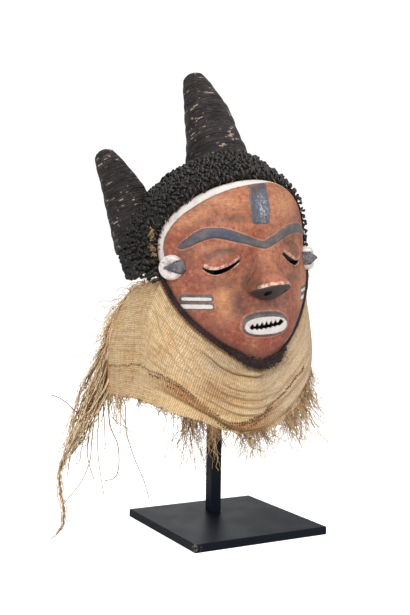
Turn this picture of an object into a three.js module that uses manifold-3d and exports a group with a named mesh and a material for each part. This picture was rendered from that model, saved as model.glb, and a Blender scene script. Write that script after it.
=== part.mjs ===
// Two-horned wooden face mask with a knotted raffia hood and a woven raffia collar, on its steel stand.
// Millimetres, +Z up. The mask looks along -Y. The origin is the centre of the stand's underside.
import * as THREE from "three";
import { mergeVertices } from "three/addons/utils/BufferGeometryUtils.js";
import Module from "manifold-3d";

const wasm = await Module();
wasm.setup();

// Steel stand: a square plate and a square post.
const PLATE_SIDE = 200;
const PLATE_THICK = 11;
const PLATE_EDGE = 0.8;
const POST_SIDE = 16;
const POST_AT = [3, 39];

// The mask hangs on the post at this height and leans by this much, its left side up.
const MASK_HEIGHT = 330;
const MASK_LEAN = 5;
const GAP = 0.3;

// Wooden face, in the mask's own frame: across, forward of the post, and up.
const FACE_HALF_WIDTH = 113;
const WIDEST_UP = 60;
const FOREHEAD_RISE = 81;
const JAW_DROP = 160;
const JAW_POINT = 2.4;
const JAW_ROUND = 0.9;
const FACE_FORWARD = 134;
const CHIN_BACK = 0.11;
const CHEEK_BACK = 62;
const TEMPLE_BACK = 12;
const CROWN_BACK = 8;
const WOOD_THICK = 10;
const RIM_DEPTH = 16;
const RIM_ROUND = 14;

// Features of the face.
const BROW_SPAN = 98;
const BROW_POINT_UP = 56;
const BROW_ARCH = 19;
const BROW_HALF_HEIGHT = 6.6;
const BROW_RAISED = 2.6;
const MARK_HALF_WIDTH = 14;
const MARK_FROM = 86;
const MARK_TO = 131;
const EYE_ACROSS = 54;
const EYE_UP = 41;
const EYE_TILT = 17;
const LEFT_EYE_HIGHER = 5;
const SLIT_INNER = [33, 41];
const SLIT_OUTER = [74, 33];
const SLIT_SAG = 11;
const SLIT_HALF_HEIGHT = 2.6;
const LIP_HALF_WIDTH = 36;
const LIP_HALF_HEIGHT = 15;
const LIP_UP = -47.5;
const MOUTH_HALF_WIDTH = 25;
const TEETH = 6;
const NOSE_ROOT = 5;
const NOSTRIL_ACROSS = 14;
const NOSTRIL_RADIUS = 3.4;
const EAR_RADIUS = 16.5;
const EAR_UP = 34;
const EAR_RAISED = 11;

// Hood of knotted raffia: an egg that is widest behind the ears and tight on the face's edge.
const HOOD_CENTRE_FORWARD = 22;
const HOOD_HALF_LENGTH = 140;
const HOOD_BACK_LENGTH = 160;
const HOOD_BACK_FULL = 0.72;
const HOOD_PROUD = 8;
const HOOD_THICK = 12;
const HOOD_HEM_UP = 30;
const HEM_TILT = 3;
const NAPE_FROM = [100, -50];
const NAPE_FOLD = new THREE.Vector3(-0.67, 0.74, 0).normalize();
const NAPE_TILT = 15;
const HOOD_FLARE = 0.09;
const MOUND_AT = [72, -18];
const MOUND_RISE = 26;
const MOUND_SPREAD = 58;

// Horns: where each stands, where it points, and how it tapers from its round tip.
const HORNS = [
  { name: "horn_right", foot: [-87, -68, 92], tip: [-117, -104, 206], tipRadius: 9, swell: 27, power: 0.6 },
  { name: "horn_left", foot: [36, -38, 180], tip: [37, -100, 319], tipRadius: 9.5, swell: 29.5, power: 0.72 },
];
const HORN_SWELL_LENGTH = 110;

const CORD_RADIUS = 5;

// Woven collar: a sheet from the jaw down to a hem that is lowest in front and open at the back.
const CLOTH_THICK = 2.5;
const HEM_HALF_WIDTH = 127;
const HEM_FORWARD = 100;
const HEM_BACK = 133;
const FRINGE_LONG = 24;
const FRINGE_SHORT = 9;
const FRINGE_TUFTS = 31;
const FRINGE_THICK = 2;

const cos = Math.cos;
const sin = Math.sin;
const radians = THREE.MathUtils.degToRad;
const clamp = THREE.MathUtils.clamp;
const lerp = THREE.MathUtils.lerp;
const smooth = THREE.MathUtils.smoothstep;

// A point of the mask from its distances across, forward and up.
const at = (across, forward, up) => new THREE.Vector3(across, -forward, up);

// A closed solid of a geometry, turned the right way out.
function solid(geometry) {
  const bare = geometry.clone();
  for (const name of Object.keys(bare.attributes)) if (name !== "position") bare.deleteAttribute(name);
  const merged = mergeVertices(bare, 1e-4);
  const vertProperties = merged.attributes.position.array;
  const triVerts = new Uint32Array(merged.index.array);
  const made = new wasm.Manifold(new wasm.Mesh({ numProp: 3, vertProperties, triVerts }));
  if (made.volume() > 0) return made;
  for (let i = 0; i < triVerts.length; i += 3) {
    const swap = triVerts[i + 1];
    triVerts[i + 1] = triVerts[i + 2];
    triVerts[i + 2] = swap;
  }
  return new wasm.Manifold(new wasm.Mesh({ numProp: 3, vertProperties, triVerts }));
}

// The geometry of a solid, for a mesh.
function geometryOf(made) {
  const { vertProperties, triVerts, numProp } = made.getMesh();
  const positions = [];
  for (let i = 0; i < vertProperties.length; i += numProp) {
    positions.push(vertProperties[i], vertProperties[i + 1], vertProperties[i + 2]);
  }
  const geometry = new THREE.BufferGeometry();
  geometry.setAttribute("position", new THREE.Float32BufferAttribute(positions, 3));
  geometry.setIndex(Array.from(triVerts));
  geometry.computeVertexNormals();
  return geometry;
}

// A closed skin over rings of points. A ring of one point is a pole; an end ring with more is closed flat.
function loft(rings) {
  const positions = [];
  const indices = [];
  const starts = rings.map((ring) => {
    const start = positions.length / 3;
    for (const p of ring) positions.push(p.x, p.y, p.z);
    return start;
  });
  const cap = (k, reverse) => {
    const ring = rings[k];
    if (ring.length === 1) return;
    const middle = ring.reduce((sum, p) => sum.add(p), new THREE.Vector3()).divideScalar(ring.length);
    const centre = positions.length / 3;
    positions.push(middle.x, middle.y, middle.z);
    ring.forEach((_, i) => {
      const a = starts[k] + i;
      const b = starts[k] + ((i + 1) % ring.length);
      indices.push(...(reverse ? [centre, b, a] : [centre, a, b]));
    });
  };
  for (let k = 0; k + 1 < rings.length; k++) {
    const n = Math.max(rings[k].length, rings[k + 1].length);
    const lower = (i) => starts[k] + (i % rings[k].length);
    const upper = (i) => starts[k + 1] + (i % rings[k + 1].length);
    for (let i = 0; i < n; i++) {
      if (rings[k].length > 1) indices.push(lower(i), lower(i + 1), upper(i + 1));
      if (rings[k + 1].length > 1) indices.push(lower(i), upper(i + 1), upper(i));
    }
  }
  cap(0, true);
  cap(rings.length - 1, false);
  const geometry = new THREE.BufferGeometry();
  geometry.setAttribute("position", new THREE.Float32BufferAttribute(positions, 3));
  geometry.setIndex(indices);
  return geometry;
}

// A sheet of even thickness behind a surface that is given for u and v from 0 to 1.
function slab(surface, across, down, thickness) {
  const step = 1e-3;
  const row = (v) => {
    const outer = [];
    const inner = [];
    for (let i = 0; i <= across; i++) {
      const u = i / across;
      const point = surface(u, v);
      const alongU = surface(Math.min(1, u + step), v).sub(surface(Math.max(0, u - step), v));
      const alongV = surface(u, Math.min(1, v + step)).sub(surface(u, Math.max(0, v - step)));
      const inward = alongU.cross(alongV).normalize().multiplyScalar(thickness);
      outer.push(point);
      inner.push(point.clone().add(inward));
    }
    return { outer, inner };
  };
  const rows = Array.from({ length: down + 1 }, (_, j) => row(j / down));
  const positions = [];
  for (const side of ["outer", "inner"]) {
    for (const r of rows) for (const p of r[side]) positions.push(p.x, p.y, p.z);
  }
  const width = across + 1;
  const layer = width * (down + 1);
  const indices = [];
  const quad = (a, b, c, d) => indices.push(a, b, c, a, c, d);
  for (let j = 0; j < down; j++) {
    for (let i = 0; i < across; i++) {
      const a = j * width + i;
      quad(a, a + 1, a + 1 + width, a + width);
      quad(layer + a, layer + a + width, layer + a + 1 + width, layer + a + 1);
    }
    const left = j * width;
    const right = left + across;
    quad(left, left + width, layer + left + width, layer + left);
    quad(right, layer + right, layer + right + width, right + width);
  }
  for (let i = 0; i < across; i++) {
    const bottom = down * width + i;
    quad(i, layer + i, layer + i + 1, i + 1);
    quad(bottom, bottom + 1, layer + bottom + 1, layer + bottom);
  }
  const geometry = new THREE.BufferGeometry();
  geometry.setAttribute("position", new THREE.Float32BufferAttribute(positions, 3));
  geometry.setIndex(indices);
  return geometry;
}

// A round tube along a list of points, with a radius for each place from 0 to 1.
function tube(points, radiusAt, sides, steps) {
  const curve = new THREE.CatmullRomCurve3(points);
  const frames = curve.computeFrenetFrames(steps, false);
  const rings = [];
  for (let k = 0; k <= steps; k++) {
    const t = k / steps;
    const middle = curve.getPointAt(t);
    const ring = [];
    for (let i = 0; i < sides; i++) {
      const turn = (i / sides) * 2 * Math.PI;
      const out = frames.normals[k].clone().multiplyScalar(cos(turn));
      out.addScaledVector(frames.binormals[k], sin(turn));
      ring.push(middle.clone().addScaledVector(out, radiusAt(t)));
    }
    rings.push(ring);
  }
  return loft(rings);
}

// A flat outline in the face's plane, drawn across and up, made a prism that runs forward through the wood.
function prism(outline, from, length) {
  const geometry = new THREE.ExtrudeGeometry(new THREE.Shape(outline), { depth: length, bevelEnabled: false });
  geometry.rotateX(Math.PI / 2);
  return geometry.translate(0, -from, 0);
}

// The face's edge at a turn round it: a half ellipse over the brow, and a pointed jaw below.
function faceEdge(turn) {
  if (turn <= Math.PI) return [FACE_HALF_WIDTH * cos(turn), WIDEST_UP + FOREHEAD_RISE * sin(turn)];
  const down = sin(turn - Math.PI);
  const side = Math.sign(Math.round(cos(turn) * 1e6));
  return [side * FACE_HALF_WIDTH * Math.max(0, 1 - down ** JAW_POINT) ** JAW_ROUND, WIDEST_UP - JAW_DROP * down];
}

// How far a point of the face lies inside its edge, and the way out to that edge.
function toEdge(x, z) {
  let level;
  let slope;
  if (z >= WIDEST_UP) {
    const rise = z - WIDEST_UP;
    level = Math.hypot(x / FACE_HALF_WIDTH, rise / FOREHEAD_RISE);
    slope = new THREE.Vector2(x / FACE_HALF_WIDTH ** 2, rise / FOREHEAD_RISE ** 2).divideScalar(Math.max(level, 0.1));
  } else {
    const down = (WIDEST_UP - z) / JAW_DROP;
    const wide = Math.max(Math.abs(x) / FACE_HALF_WIDTH, 1e-3);
    level = wide ** (1 / JAW_ROUND) + down ** JAW_POINT;
    slope = new THREE.Vector2(
      (Math.sign(x) * wide ** (1 / JAW_ROUND - 1)) / JAW_ROUND / FACE_HALF_WIDTH,
      (-JAW_POINT / JAW_DROP) * down ** (JAW_POINT - 1),
    );
  }
  return { inside: (1 - level) / Math.max(slope.length(), 1e-3), out: slope.normalize() };
}

// How far forward the face lies before its edge is rounded: it wraps back at the sides, chin and crown.
function faceBase(x, z) {
  const chin = CHIN_BACK * Math.max(0, WIDEST_UP - z);
  const crown = CROWN_BACK * clamp((z - WIDEST_UP) / FOREHEAD_RISE, 0, 1) ** 4;
  const side = CHEEK_BACK + TEMPLE_BACK * smooth(z, 0, WIDEST_UP);
  return FACE_FORWARD - chin - crown - side * (x / FACE_HALF_WIDTH) ** 2;
}

// How far forward the smooth face lies, with its edge rounded back.
function smoothFace(x, z) {
  const near = clamp(1 - toEdge(x, z).inside / RIM_ROUND, 0, 1);
  const round = lerp(z > WIDEST_UP ? 12 : 5, 3, (x / FACE_HALF_WIDTH) ** 2);
  return faceBase(x, z) - round * (1 - Math.sqrt(1 - near * near));
}

// The face with its hollows under the brow and its full mouth.
function carvedFace(x, z) {
  const socket = 4 * Math.exp(-(((Math.abs(x) - 52) / 30) ** 2) - ((z - 64) / 9) ** 2);
  const mouth = 4 * Math.exp(-((x / 34) ** 2) - ((z - LIP_UP) / 24) ** 2);
  return smoothFace(x, z) - socket + mouth;
}

// Height of the brow's middle line: two arches that meet in a point over the nose.
function browUp(across) {
  const t = Math.abs(across) / BROW_SPAN;
  return BROW_POINT_UP + BROW_ARCH * sin(Math.PI * (t / 1.1) ** 1.25);
}

function faceShell() {
  const spokes = 56;
  const centre = [0, 25];
  const ringAt = (size, depth) => {
    const ring = [];
    for (let i = 0; i < spokes; i++) {
      const [ex, ez] = faceEdge((i / spokes) * 2 * Math.PI);
      const x = centre[0] + size * (ex - centre[0]);
      const z = centre[1] + size * (ez - centre[1]);
      ring.push(at(x, depth(x, z, ex, ez), z));
    }
    return ring;
  };
  const hollow = (x, z) => faceBase(x, z) - WOOD_THICK;
  const rimBack = (x, z, ex, ez) => smoothFace(ex, ez) - RIM_DEPTH;
  const rings = [[at(0, carvedFace(...centre), centre[1])]];
  for (const size of [0.16, 0.32, 0.47, 0.6, 0.72, 0.82, 0.9, 0.95, 0.985, 1]) {
    rings.push(ringAt(size, carvedFace));
  }
  rings.push(ringAt(1, rimBack));
  rings.push(ringAt(0.93, rimBack));
  for (const size of [0.89, 0.66, 0.34]) rings.push(ringAt(size, hollow));
  rings.push([at(0, hollow(...centre), centre[1])]);
  return solid(loft(rings));
}

// A raised band on the face: its section stands on the surface at each place along its middle line.
function band(steps, place) {
  const rings = [];
  for (let k = 0; k <= steps; k++) {
    const { x, z, half, raised, along } = place(k / steps);
    const normal = new THREE.Vector2(-along[1], along[0]).normalize();
    rings.push([[-1, -4], [-1, 0.2], [-0.6, 1], [0.6, 1], [1, 0.2], [1, -4]].map(([side, lift]) => {
      const px = x + normal.x * side * half;
      const pz = z + normal.y * side * half;
      const height = lift > 0 ? lift * raised : lift;
      return at(px, carvedFace(px, pz) + height, pz);
    }));
  }
  return solid(loft(rings));
}

const brow = () => band(16, (t) => {
  const x = lerp(-BROW_SPAN, BROW_SPAN, t);
  const end = Math.abs(x) / BROW_SPAN;
  const half = BROW_HALF_HEIGHT * (1 - 0.55 * smooth(end, 0.7, 1));
  return { x, z: browUp(x), half, raised: BROW_RAISED, along: [1, (browUp(x + 1) - browUp(x - 1)) / 2] };
});

const foreheadMark = () => band(6, (t) => (
  { x: -1, z: lerp(MARK_FROM, MARK_TO, t), half: MARK_HALF_WIDTH, raised: 2, along: [0, 1] }
));

// Nose: level sections that widen to a broad upturned tip and run back under it to the lip.
function nose() {
  const levels = [
    { up: 56, stand: 0.5, top: 4, base: 7 },
    { up: 44, stand: 4.5, top: 5, base: 10 },
    { up: 30, stand: 11.5, top: 8, base: 14 },
    { up: 19, stand: 21, top: 14, base: 19 },
    { up: 11, stand: 31, top: 19.5, base: 23 },
    { up: 4, stand: 27.5, top: 20, base: 27 },
    { up: -4, stand: 16, top: 18, base: 27 },
    { up: -11, stand: 3, top: 14, base: 20 },
  ];
  const section = [[-1, 0, 0], [-1, 0, 0.35], [-0.3, 0.7, 0.8], [0, 1, 0.96], [0, 0, 1.02]];
  const rings = levels.map(({ up, stand, top, base }) => {
    const place = (x, h) => at(x, carvedFace(x, up) - NOSE_ROOT + h * (stand + NOSE_ROOT), up);
    const half = section.map(([b, t, h]) => [b * base - t * top, h]);
    const right = half.map(([x, h]) => place(x, h));
    const left = half.slice(0, -1).reverse().map(([x, h]) => place(-x, h));
    return [...right, ...left];
  });
  return solid(loft(rings));
}

function nostril(side) {
  const bore = new THREE.CylinderGeometry(NOSTRIL_RADIUS, NOSTRIL_RADIUS, 22, 12);
  bore.rotateX(radians(-28));
  const middle = at(side * NOSTRIL_ACROSS, 150, 4);
  return solid(bore.translate(middle.x, middle.y, middle.z));
}

// One eye stands a little higher than the other.
const eyeRaised = (side) => (side > 0 ? LEFT_EYE_HIGHER : 0);

// Heavy upper lid: a low dome over the slit of the downcast eye.
function lid(side) {
  const dome = new THREE.SphereGeometry(1, 16, 8).scale(24, 6.5, 15);
  dome.rotateY(side * radians(EYE_TILT));
  dome.rotateZ(side * radians(33));
  const up = EYE_UP + eyeRaised(side);
  const middle = at(side * EYE_ACROSS, smoothFace(EYE_ACROSS, up) - 3.5, up);
  return solid(dome.translate(middle.x, middle.y, middle.z));
}

// Slit of the eye: a thin sickle from the inner corner down and out to the outer one.
function eyeSlit(side) {
  const upper = [];
  const lower = [];
  const steps = 9;
  for (let i = 0; i <= steps; i++) {
    const t = i / steps;
    const x = lerp(SLIT_INNER[0], SLIT_OUTER[0], t);
    const z = lerp(SLIT_INNER[1], SLIT_OUTER[1], t) - SLIT_SAG * sin(Math.PI * t) + eyeRaised(side);
    const half = SLIT_HALF_HEIGHT * Math.sqrt(sin(Math.PI * clamp(t, 0.03, 0.97)));
    upper.push(new THREE.Vector2(side * x, z + half));
    lower.unshift(new THREE.Vector2(side * x, z - half));
  }
  return solid(prism([...upper, ...lower], 70, 80));
}

// Full lips: a low cushion with a flat front.
function lips() {
  const ringAt = (size, lift) => {
    const ring = [];
    const points = 22;
    for (let i = 0; i < points; i++) {
      const turn = (i / points) * 2 * Math.PI;
      const x = size * LIP_HALF_WIDTH * Math.sign(cos(turn)) * Math.abs(cos(turn)) ** 0.75;
      const z = LIP_UP + size * LIP_HALF_HEIGHT * Math.sign(sin(turn)) * Math.abs(sin(turn)) ** 0.85;
      ring.push(at(x, carvedFace(x, z) + lift, z));
    }
    return ring;
  };
  const middle = (lift) => [at(0, carvedFace(0, LIP_UP) + lift, LIP_UP)];
  return solid(loft([middle(-4), ringAt(1, -4), ringAt(1, 0.4), ringAt(0.88, 3.2), ringAt(0.6, 3.6), middle(3.6)]));
}

// Open mouth: a long slot with filed teeth above and below.
function mouthSlot() {
  const half = MOUTH_HALF_WIDTH;
  const points = [new THREE.Vector2(-half, LIP_UP)];
  for (let i = 0; i < 2 * TEETH + 1; i++) {
    const x = lerp(-half + 3, half - 3, i / (2 * TEETH));
    points.push(new THREE.Vector2(x, LIP_UP + (i % 2 ? 1 : 3.6)));
  }
  points.push(new THREE.Vector2(half, LIP_UP));
  for (let i = 0; i < 2 * TEETH + 1; i++) {
    const x = lerp(half - 3, -half + 3, i / (2 * TEETH));
    points.push(new THREE.Vector2(x, LIP_UP - (i % 2 ? 1.6 : 3.4)));
  }
  return solid(prism(points, 90, 60));
}

// Ear: a thick C that opens forward, with a wedge standing in its mouth.
function ear(side) {
  const opening = radians(38);
  const shape = new THREE.Shape();
  shape.absarc(0, 0, EAR_RADIUS, opening, 2 * Math.PI - opening);
  shape.absarc(0, 0, EAR_RADIUS * 0.3, 2 * Math.PI - opening, opening, true);
  shape.closePath();
  const rim = solid(new THREE.ExtrudeGeometry(shape, { depth: EAR_RAISED + 8, bevelEnabled: false, curveSegments: 7 })
    .translate(0, 0, -8));
  const front = EAR_RADIUS + 1;
  const wedge = solid(loft([
    [[-3, -2, -8], [front, -11, -8], [front, 11, -8], [-3, 2, -8]],
    [[-3, -2, EAR_RAISED], [front, -10, 1], [front, 10, 1], [-3, 2, EAR_RAISED]],
    [[-2, -1, EAR_RAISED + 4], [6, -4.5, EAR_RAISED + 2], [6, 4.5, EAR_RAISED + 2], [-2, 1, EAR_RAISED + 4]],
  ].map((ring) => ring.map(([x, y, z]) => new THREE.Vector3(x, y, z)))));
  // The ear's own x runs forward over the cheek, y is up, and z stands out from the side of the face.
  const across = 100;
  const out = new THREE.Vector3(side * 0.78, -0.626, 0);
  const forward = new THREE.Vector3(-side * 0.626, -0.78, 0);
  const place = at(side * across, smoothFace(across, EAR_UP), EAR_UP);
  const pose = new THREE.Matrix4().makeBasis(forward, new THREE.Vector3(0, 0, 1), out).setPosition(place);
  const joined = geometryOf(rim.add(wedge)).applyMatrix4(pose);
  return solid(joined);
}

function face() {
  let wood = faceShell().add(brow()).add(foreheadMark()).add(nose()).add(lips());
  for (const side of [-1, 1]) wood = wood.add(lid(side)).add(ear(side));
  for (const side of [-1, 1]) wood = wood.subtract(nostril(side)).subtract(eyeSlit(side));
  return wood.subtract(mouthSlot());
}

// A point of the hood's skin in one direction round the head, from its front edge back to its pole.
function hoodPoint(turn, back, inset) {
  const rise = sin(turn) >= 0 ? FOREHEAD_RISE : 2 * FOREHEAD_RISE;
  const edge = 1 / Math.hypot(cos(turn) / FACE_HALF_WIDTH, sin(turn) / rise);
  const x = edge * cos(turn);
  const z = WIDEST_UP + edge * Math.max(0, sin(turn));
  const front = smoothFace(x, z) - 4;
  const startAngle = Math.acos(clamp((front - HOOD_CENTRE_FORWARD) / HOOD_HALF_LENGTH, -1, 1));
  const widest = (edge + HOOD_PROUD) / sin(startAngle);
  const angle = lerp(startAngle, Math.PI, back);
  const reach = cos(angle) < 0 ? HOOD_BACK_LENGTH : HOOD_HALF_LENGTH;
  const forward = HOOD_CENTRE_FORWARD + reach * cos(angle);
  const behind = smooth(back, 0, 0.55);
  const lean = 1 + 0.085 * behind * cos(turn - radians(50)) + HOOD_FLARE * behind * Math.exp(-((sin(turn) / 0.4) ** 2));
  const thick = inset * lerp((HOOD_PROUD - 2 * GAP) / HOOD_THICK, 1, smooth(back, 0, 0.2));
  const full = cos(angle) < 0 ? sin(angle) ** HOOD_BACK_FULL : sin(angle);
  const outer = widest * full * lean;
  const fromMound = Math.hypot(outer * cos(turn) - MOUND_AT[0], forward - MOUND_AT[1]) / MOUND_SPREAD;
  const radius = outer + MOUND_RISE * Math.max(0, sin(turn)) * Math.exp(-(fromMound ** 2)) - thick;
  const pole = inset * smooth(back, 0.6, 1);
  return at(radius * cos(turn), forward + pole, WIDEST_UP + radius * sin(turn));
}

// The hood's bulk out to a skin that is inset by its thickness, or grown by a gap.
function hoodBulk(inset, reach) {
  const around = 40;
  const ringAt = (back, forward) => Array.from({ length: around }, (_, i) => (
    hoodPoint((i / around) * 2 * Math.PI, back, inset).add(at(0, forward, 0))
  ));
  const rings = [[at(0, 40 + reach, WIDEST_UP)]];
  if (reach > 0) rings.push(ringAt(0, reach));
  for (const back of [0, 0.05, 0.12, 0.22, 0.34, 0.47, 0.6, 0.73, 0.86, 0.95]) rings.push(ringAt(back, 0));
  rings.push([hoodPoint(0, 1, inset).setX(0)]);
  return solid(loft(rings));
}

function hood() {
  const below = new THREE.BoxGeometry(900, 900, 400).translate(0, 0, -200);
  const behind = below.clone().applyMatrix4(new THREE.Matrix4().makeRotationAxis(NAPE_FOLD, radians(NAPE_TILT)));
  behind.translate(...NAPE_FROM, HOOD_HEM_UP);
  below.rotateX(radians(HEM_TILT)).translate(0, 0, HOOD_HEM_UP);
  const open = solid(below).intersect(solid(behind));
  return hoodBulk(0, 0).subtract(hoodBulk(HOOD_THICK, 60)).subtract(open);
}

// A horn: a cone with a round tip that swells towards its foot and bends a little backwards.
function horn({ foot, tip, tipRadius, swell, power }) {
  const base = at(...foot);
  const end = at(...tip);
  const axis = end.clone().sub(base);
  const length = axis.length();
  const root = base.clone().addScaledVector(axis, -0.2);
  const bend = base.clone().add(end).multiplyScalar(0.5).add(new THREE.Vector3(0, -5, 0));
  const radiusAt = (t) => {
    const fromTip = (1 - t) * length * 1.2;
    const cone = tipRadius + swell * (fromTip / HORN_SWELL_LENGTH) ** power;
    const dome = fromTip < tipRadius ? Math.sqrt(clamp(1 - (1 - fromTip / tipRadius) ** 2, 0.02, 1)) : 1;
    return cone * dome;
  };
  return solid(tube([root, base, bend, end], radiusAt, 16, 12)).subtract(hoodBulk(-GAP, 0));
}

// A place along the jaw's edge, from the right ear (0) under the chin to the left ear (1).
function jawPlace(t, outward, back) {
  const turn = lerp(Math.PI + radians(15), 2 * Math.PI - radians(15), t);
  const [x, z] = faceEdge(turn);
  const { out } = toEdge(x * 0.999, z);
  const chin = 1 - clamp(Math.abs(x) / 12, 0, 1);
  const dir = new THREE.Vector2(out.x * (1 - chin), lerp(out.y, -1, chin)).normalize();
  return at(x + dir.x * outward, smoothFace(x, z) - back, z + dir.y * outward);
}

function jawCord() {
  const points = Array.from({ length: 25 }, (_, i) => jawPlace(i / 24, CORD_RADIUS + 2 * GAP, CORD_RADIUS + 1));
  return solid(tube(points, () => CORD_RADIUS, 6, 40));
}

// The collar's upper edge: behind the cord along the jaw, and on behind each ear.
function collarTop(u) {
  const side = u < 0.5 ? -1 : 1;
  const s = Math.abs(u - 0.5) * 2;
  const turning = 0.64;
  if (s <= turning) return jawPlace(0.5 + (side * s) / turning / 2, CLOTH_THICK + 1, 2 * CORD_RADIUS + 2);
  const t = (s - turning) / (1 - turning);
  const ear = jawPlace(side < 0 ? 0 : 1, CLOTH_THICK + 1, 2 * CORD_RADIUS + 2);
  return at(lerp(ear.x, side * 112, t), lerp(-ear.y, -56, t), lerp(ear.z, 2, t ** 1.3));
}

// The collar's hem: a half oval in front, straight sides behind, lowest under the chin.
function collarHem(u) {
  const side = u < 0.5 ? -1 : 1;
  const s = Math.abs(u - 0.5) * 2;
  const turning = 0.64;
  if (s <= turning) {
    const turn = (s / turning) * (Math.PI / 2);
    const drop = lerp(-193, -151, smooth(s / turning, 0.12, 0.85));
    return at(side * HEM_HALF_WIDTH * sin(turn), HEM_FORWARD * cos(turn), drop);
  }
  const t = (s - turning) / (1 - turning);
  return at(side * HEM_HALF_WIDTH, lerp(0, -HEM_BACK, t), lerp(-151, -154, t));
}

// The cloth between them swells outward, kicks out at the hem, and trails back at its open edges.
function collarSurface(u, v) {
  const top = collarTop(u);
  const hem = collarHem(u);
  const s = Math.abs(u - 0.5) * 2;
  const point = top.clone().lerp(hem, v);
  const out = new THREE.Vector3(hem.x / HEM_HALF_WIDTH, Math.min(0, hem.y) / HEM_FORWARD, 0);
  point.addScaledVector(out, 13 * sin(Math.PI * v) + 5 * smooth(v, 0.8, 1));
  point.y += 28 * smooth(s, 0.64, 1) * sin(Math.PI * v ** 0.8);
  return point;
}

const collar = () => solid(slab(collarSurface, 34, 6, CLOTH_THICK));

function hemFringe() {
  const teeth = 60;
  const drop = (u) => (Math.round(u * teeth) % 2 ? FRINGE_SHORT : FRINGE_LONG * (1 + 0.4 * sin(FRINGE_TUFTS * u)));
  const surface = (u, v) => {
    const start = collarSurface(u, 1);
    start.z -= GAP + v * drop(u);
    start.y += 0.3;
    return start;
  };
  return solid(slab(surface, teeth, 1, FRINGE_THICK));
}

// Loose strands that fall from the collar's open edge, in the stand's own frame.
const STRANDS = [
  { start: 3, thick: 13, end: 2.2, route: [[-119, 178, 262], [-121, 178, 225], [-131, 170, 183], [-151, 160, 140],
    [-173, 150, 107], [-190, 139, 74], [-197, 125, 42], [-196, 112, 14], [-198, 104, 3.5], [-215, 82, 3.5], [-237, 47, 3.5]] },
  { start: 6, thick: 6, end: 1.5, route: [[-124, 176, 205], [-132, 164, 165], [-138, 135, 109], [-145, 122, 74],
    [-153, 119, 39]] },
  { start: 6, thick: 6, end: 1.5, route: [[-124, 176, 200], [-133, 161, 160], [-126, 118, 125], [-124, 98, 92],
    [-142, 90, 69]] },
];

function sideHank() {
  const parts = STRANDS.map(({ start, thick, end, route }) => {
    const points = route.map((p) => new THREE.Vector3(...p));
    const radiusAt = (t) => lerp(lerp(start, thick, smooth(t, 0.05, 0.35)), end, smooth(t, 0.35, 0.7));
    return solid(tube(points, radiusAt, 5, 15));
  });
  return parts.reduce((whole, part) => whole.add(part));
}

function basePlate() {
  const half = PLATE_SIDE / 2 - PLATE_EDGE;
  const outline = new THREE.Shape();
  outline.moveTo(-half, -half).lineTo(half, -half).lineTo(half, half).lineTo(-half, half).closePath();
  const geometry = new THREE.ExtrudeGeometry(outline, {
    depth: PLATE_THICK - 2 * PLATE_EDGE, bevelThickness: PLATE_EDGE, bevelSize: PLATE_EDGE, bevelSegments: 1,
  });
  return geometry.translate(0, 0, PLATE_EDGE);
}

function post() {
  const crown = hoodPoint(Math.PI / 2, 0.35, HOOD_THICK).z;
  const height = MASK_HEIGHT + crown - 4 - PLATE_THICK - GAP;
  const geometry = new THREE.BoxGeometry(POST_SIDE, POST_SIDE, height);
  return geometry.translate(POST_AT[0], POST_AT[1], PLATE_THICK + GAP + height / 2);
}

const paints = {
  steel: new THREE.MeshStandardMaterial({ color: 0x1b1d22, roughness: 0.45, metalness: 0.2 }),
  wood: new THREE.MeshStandardMaterial({ color: 0xa4593a, roughness: 0.6, metalness: 0 }),
  knots: new THREE.MeshStandardMaterial({ color: 0x1f1a18, roughness: 0.9, metalness: 0 }),
  cord: new THREE.MeshStandardMaterial({ color: 0x2c2423, roughness: 0.85, metalness: 0 }),
  raffia: new THREE.MeshStandardMaterial({ color: 0xb89c6c, roughness: 0.9, metalness: 0 }),
};

function mesh(name, geometry, material) {
  const made = new THREE.Mesh(geometry, material);
  made.name = name;
  return made;
}

const mask = new THREE.Group();
mask.position.set(POST_AT[0], POST_AT[1], MASK_HEIGHT);
mask.rotation.y = -radians(MASK_LEAN);
mask.add(mesh("face", geometryOf(face()), paints.wood));
mask.add(mesh("hood", geometryOf(hood()), paints.knots));
for (const each of HORNS) mask.add(mesh(each.name, geometryOf(horn(each)), paints.cord));
mask.add(mesh("jaw_cord", geometryOf(jawCord()), paints.cord));
mask.add(mesh("collar", geometryOf(collar()), paints.raffia));
mask.add(mesh("hem_fringe", geometryOf(hemFringe()), paints.raffia));

const whole = new THREE.Group();
whole.add(mesh("base_plate", basePlate(), paints.steel));
whole.add(mesh("post", post(), paints.steel));
whole.add(mask);
whole.add(mesh("side_hank", geometryOf(sideHank()), paints.raffia));

export default whole;
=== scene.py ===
"""Two-horned wooden face mask with a knotted raffia hood and a woven raffia collar, on its steel stand."""

import math

import bmesh
import bpy
import numpy as np
from mathutils import Matrix, Vector


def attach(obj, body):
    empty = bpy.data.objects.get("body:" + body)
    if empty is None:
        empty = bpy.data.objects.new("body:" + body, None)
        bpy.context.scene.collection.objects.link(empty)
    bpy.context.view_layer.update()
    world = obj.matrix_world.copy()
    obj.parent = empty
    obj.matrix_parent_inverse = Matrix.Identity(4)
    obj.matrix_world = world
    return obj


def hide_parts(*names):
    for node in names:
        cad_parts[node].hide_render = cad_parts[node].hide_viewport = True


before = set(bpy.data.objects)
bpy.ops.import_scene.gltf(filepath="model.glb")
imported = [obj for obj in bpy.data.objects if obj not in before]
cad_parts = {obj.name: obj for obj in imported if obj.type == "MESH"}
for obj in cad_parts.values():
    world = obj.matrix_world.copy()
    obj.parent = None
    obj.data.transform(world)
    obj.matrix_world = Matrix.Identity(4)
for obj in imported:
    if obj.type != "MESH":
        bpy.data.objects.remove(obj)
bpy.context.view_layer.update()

# Camera: a little to the mask's right and just above the plate, as the mask was pictured.
CAMERA_ROUND = math.radians(-28.679)
CAMERA_RISE = math.radians(1.216)
CAMERA_ROLL = math.radians(0.826)
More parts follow.
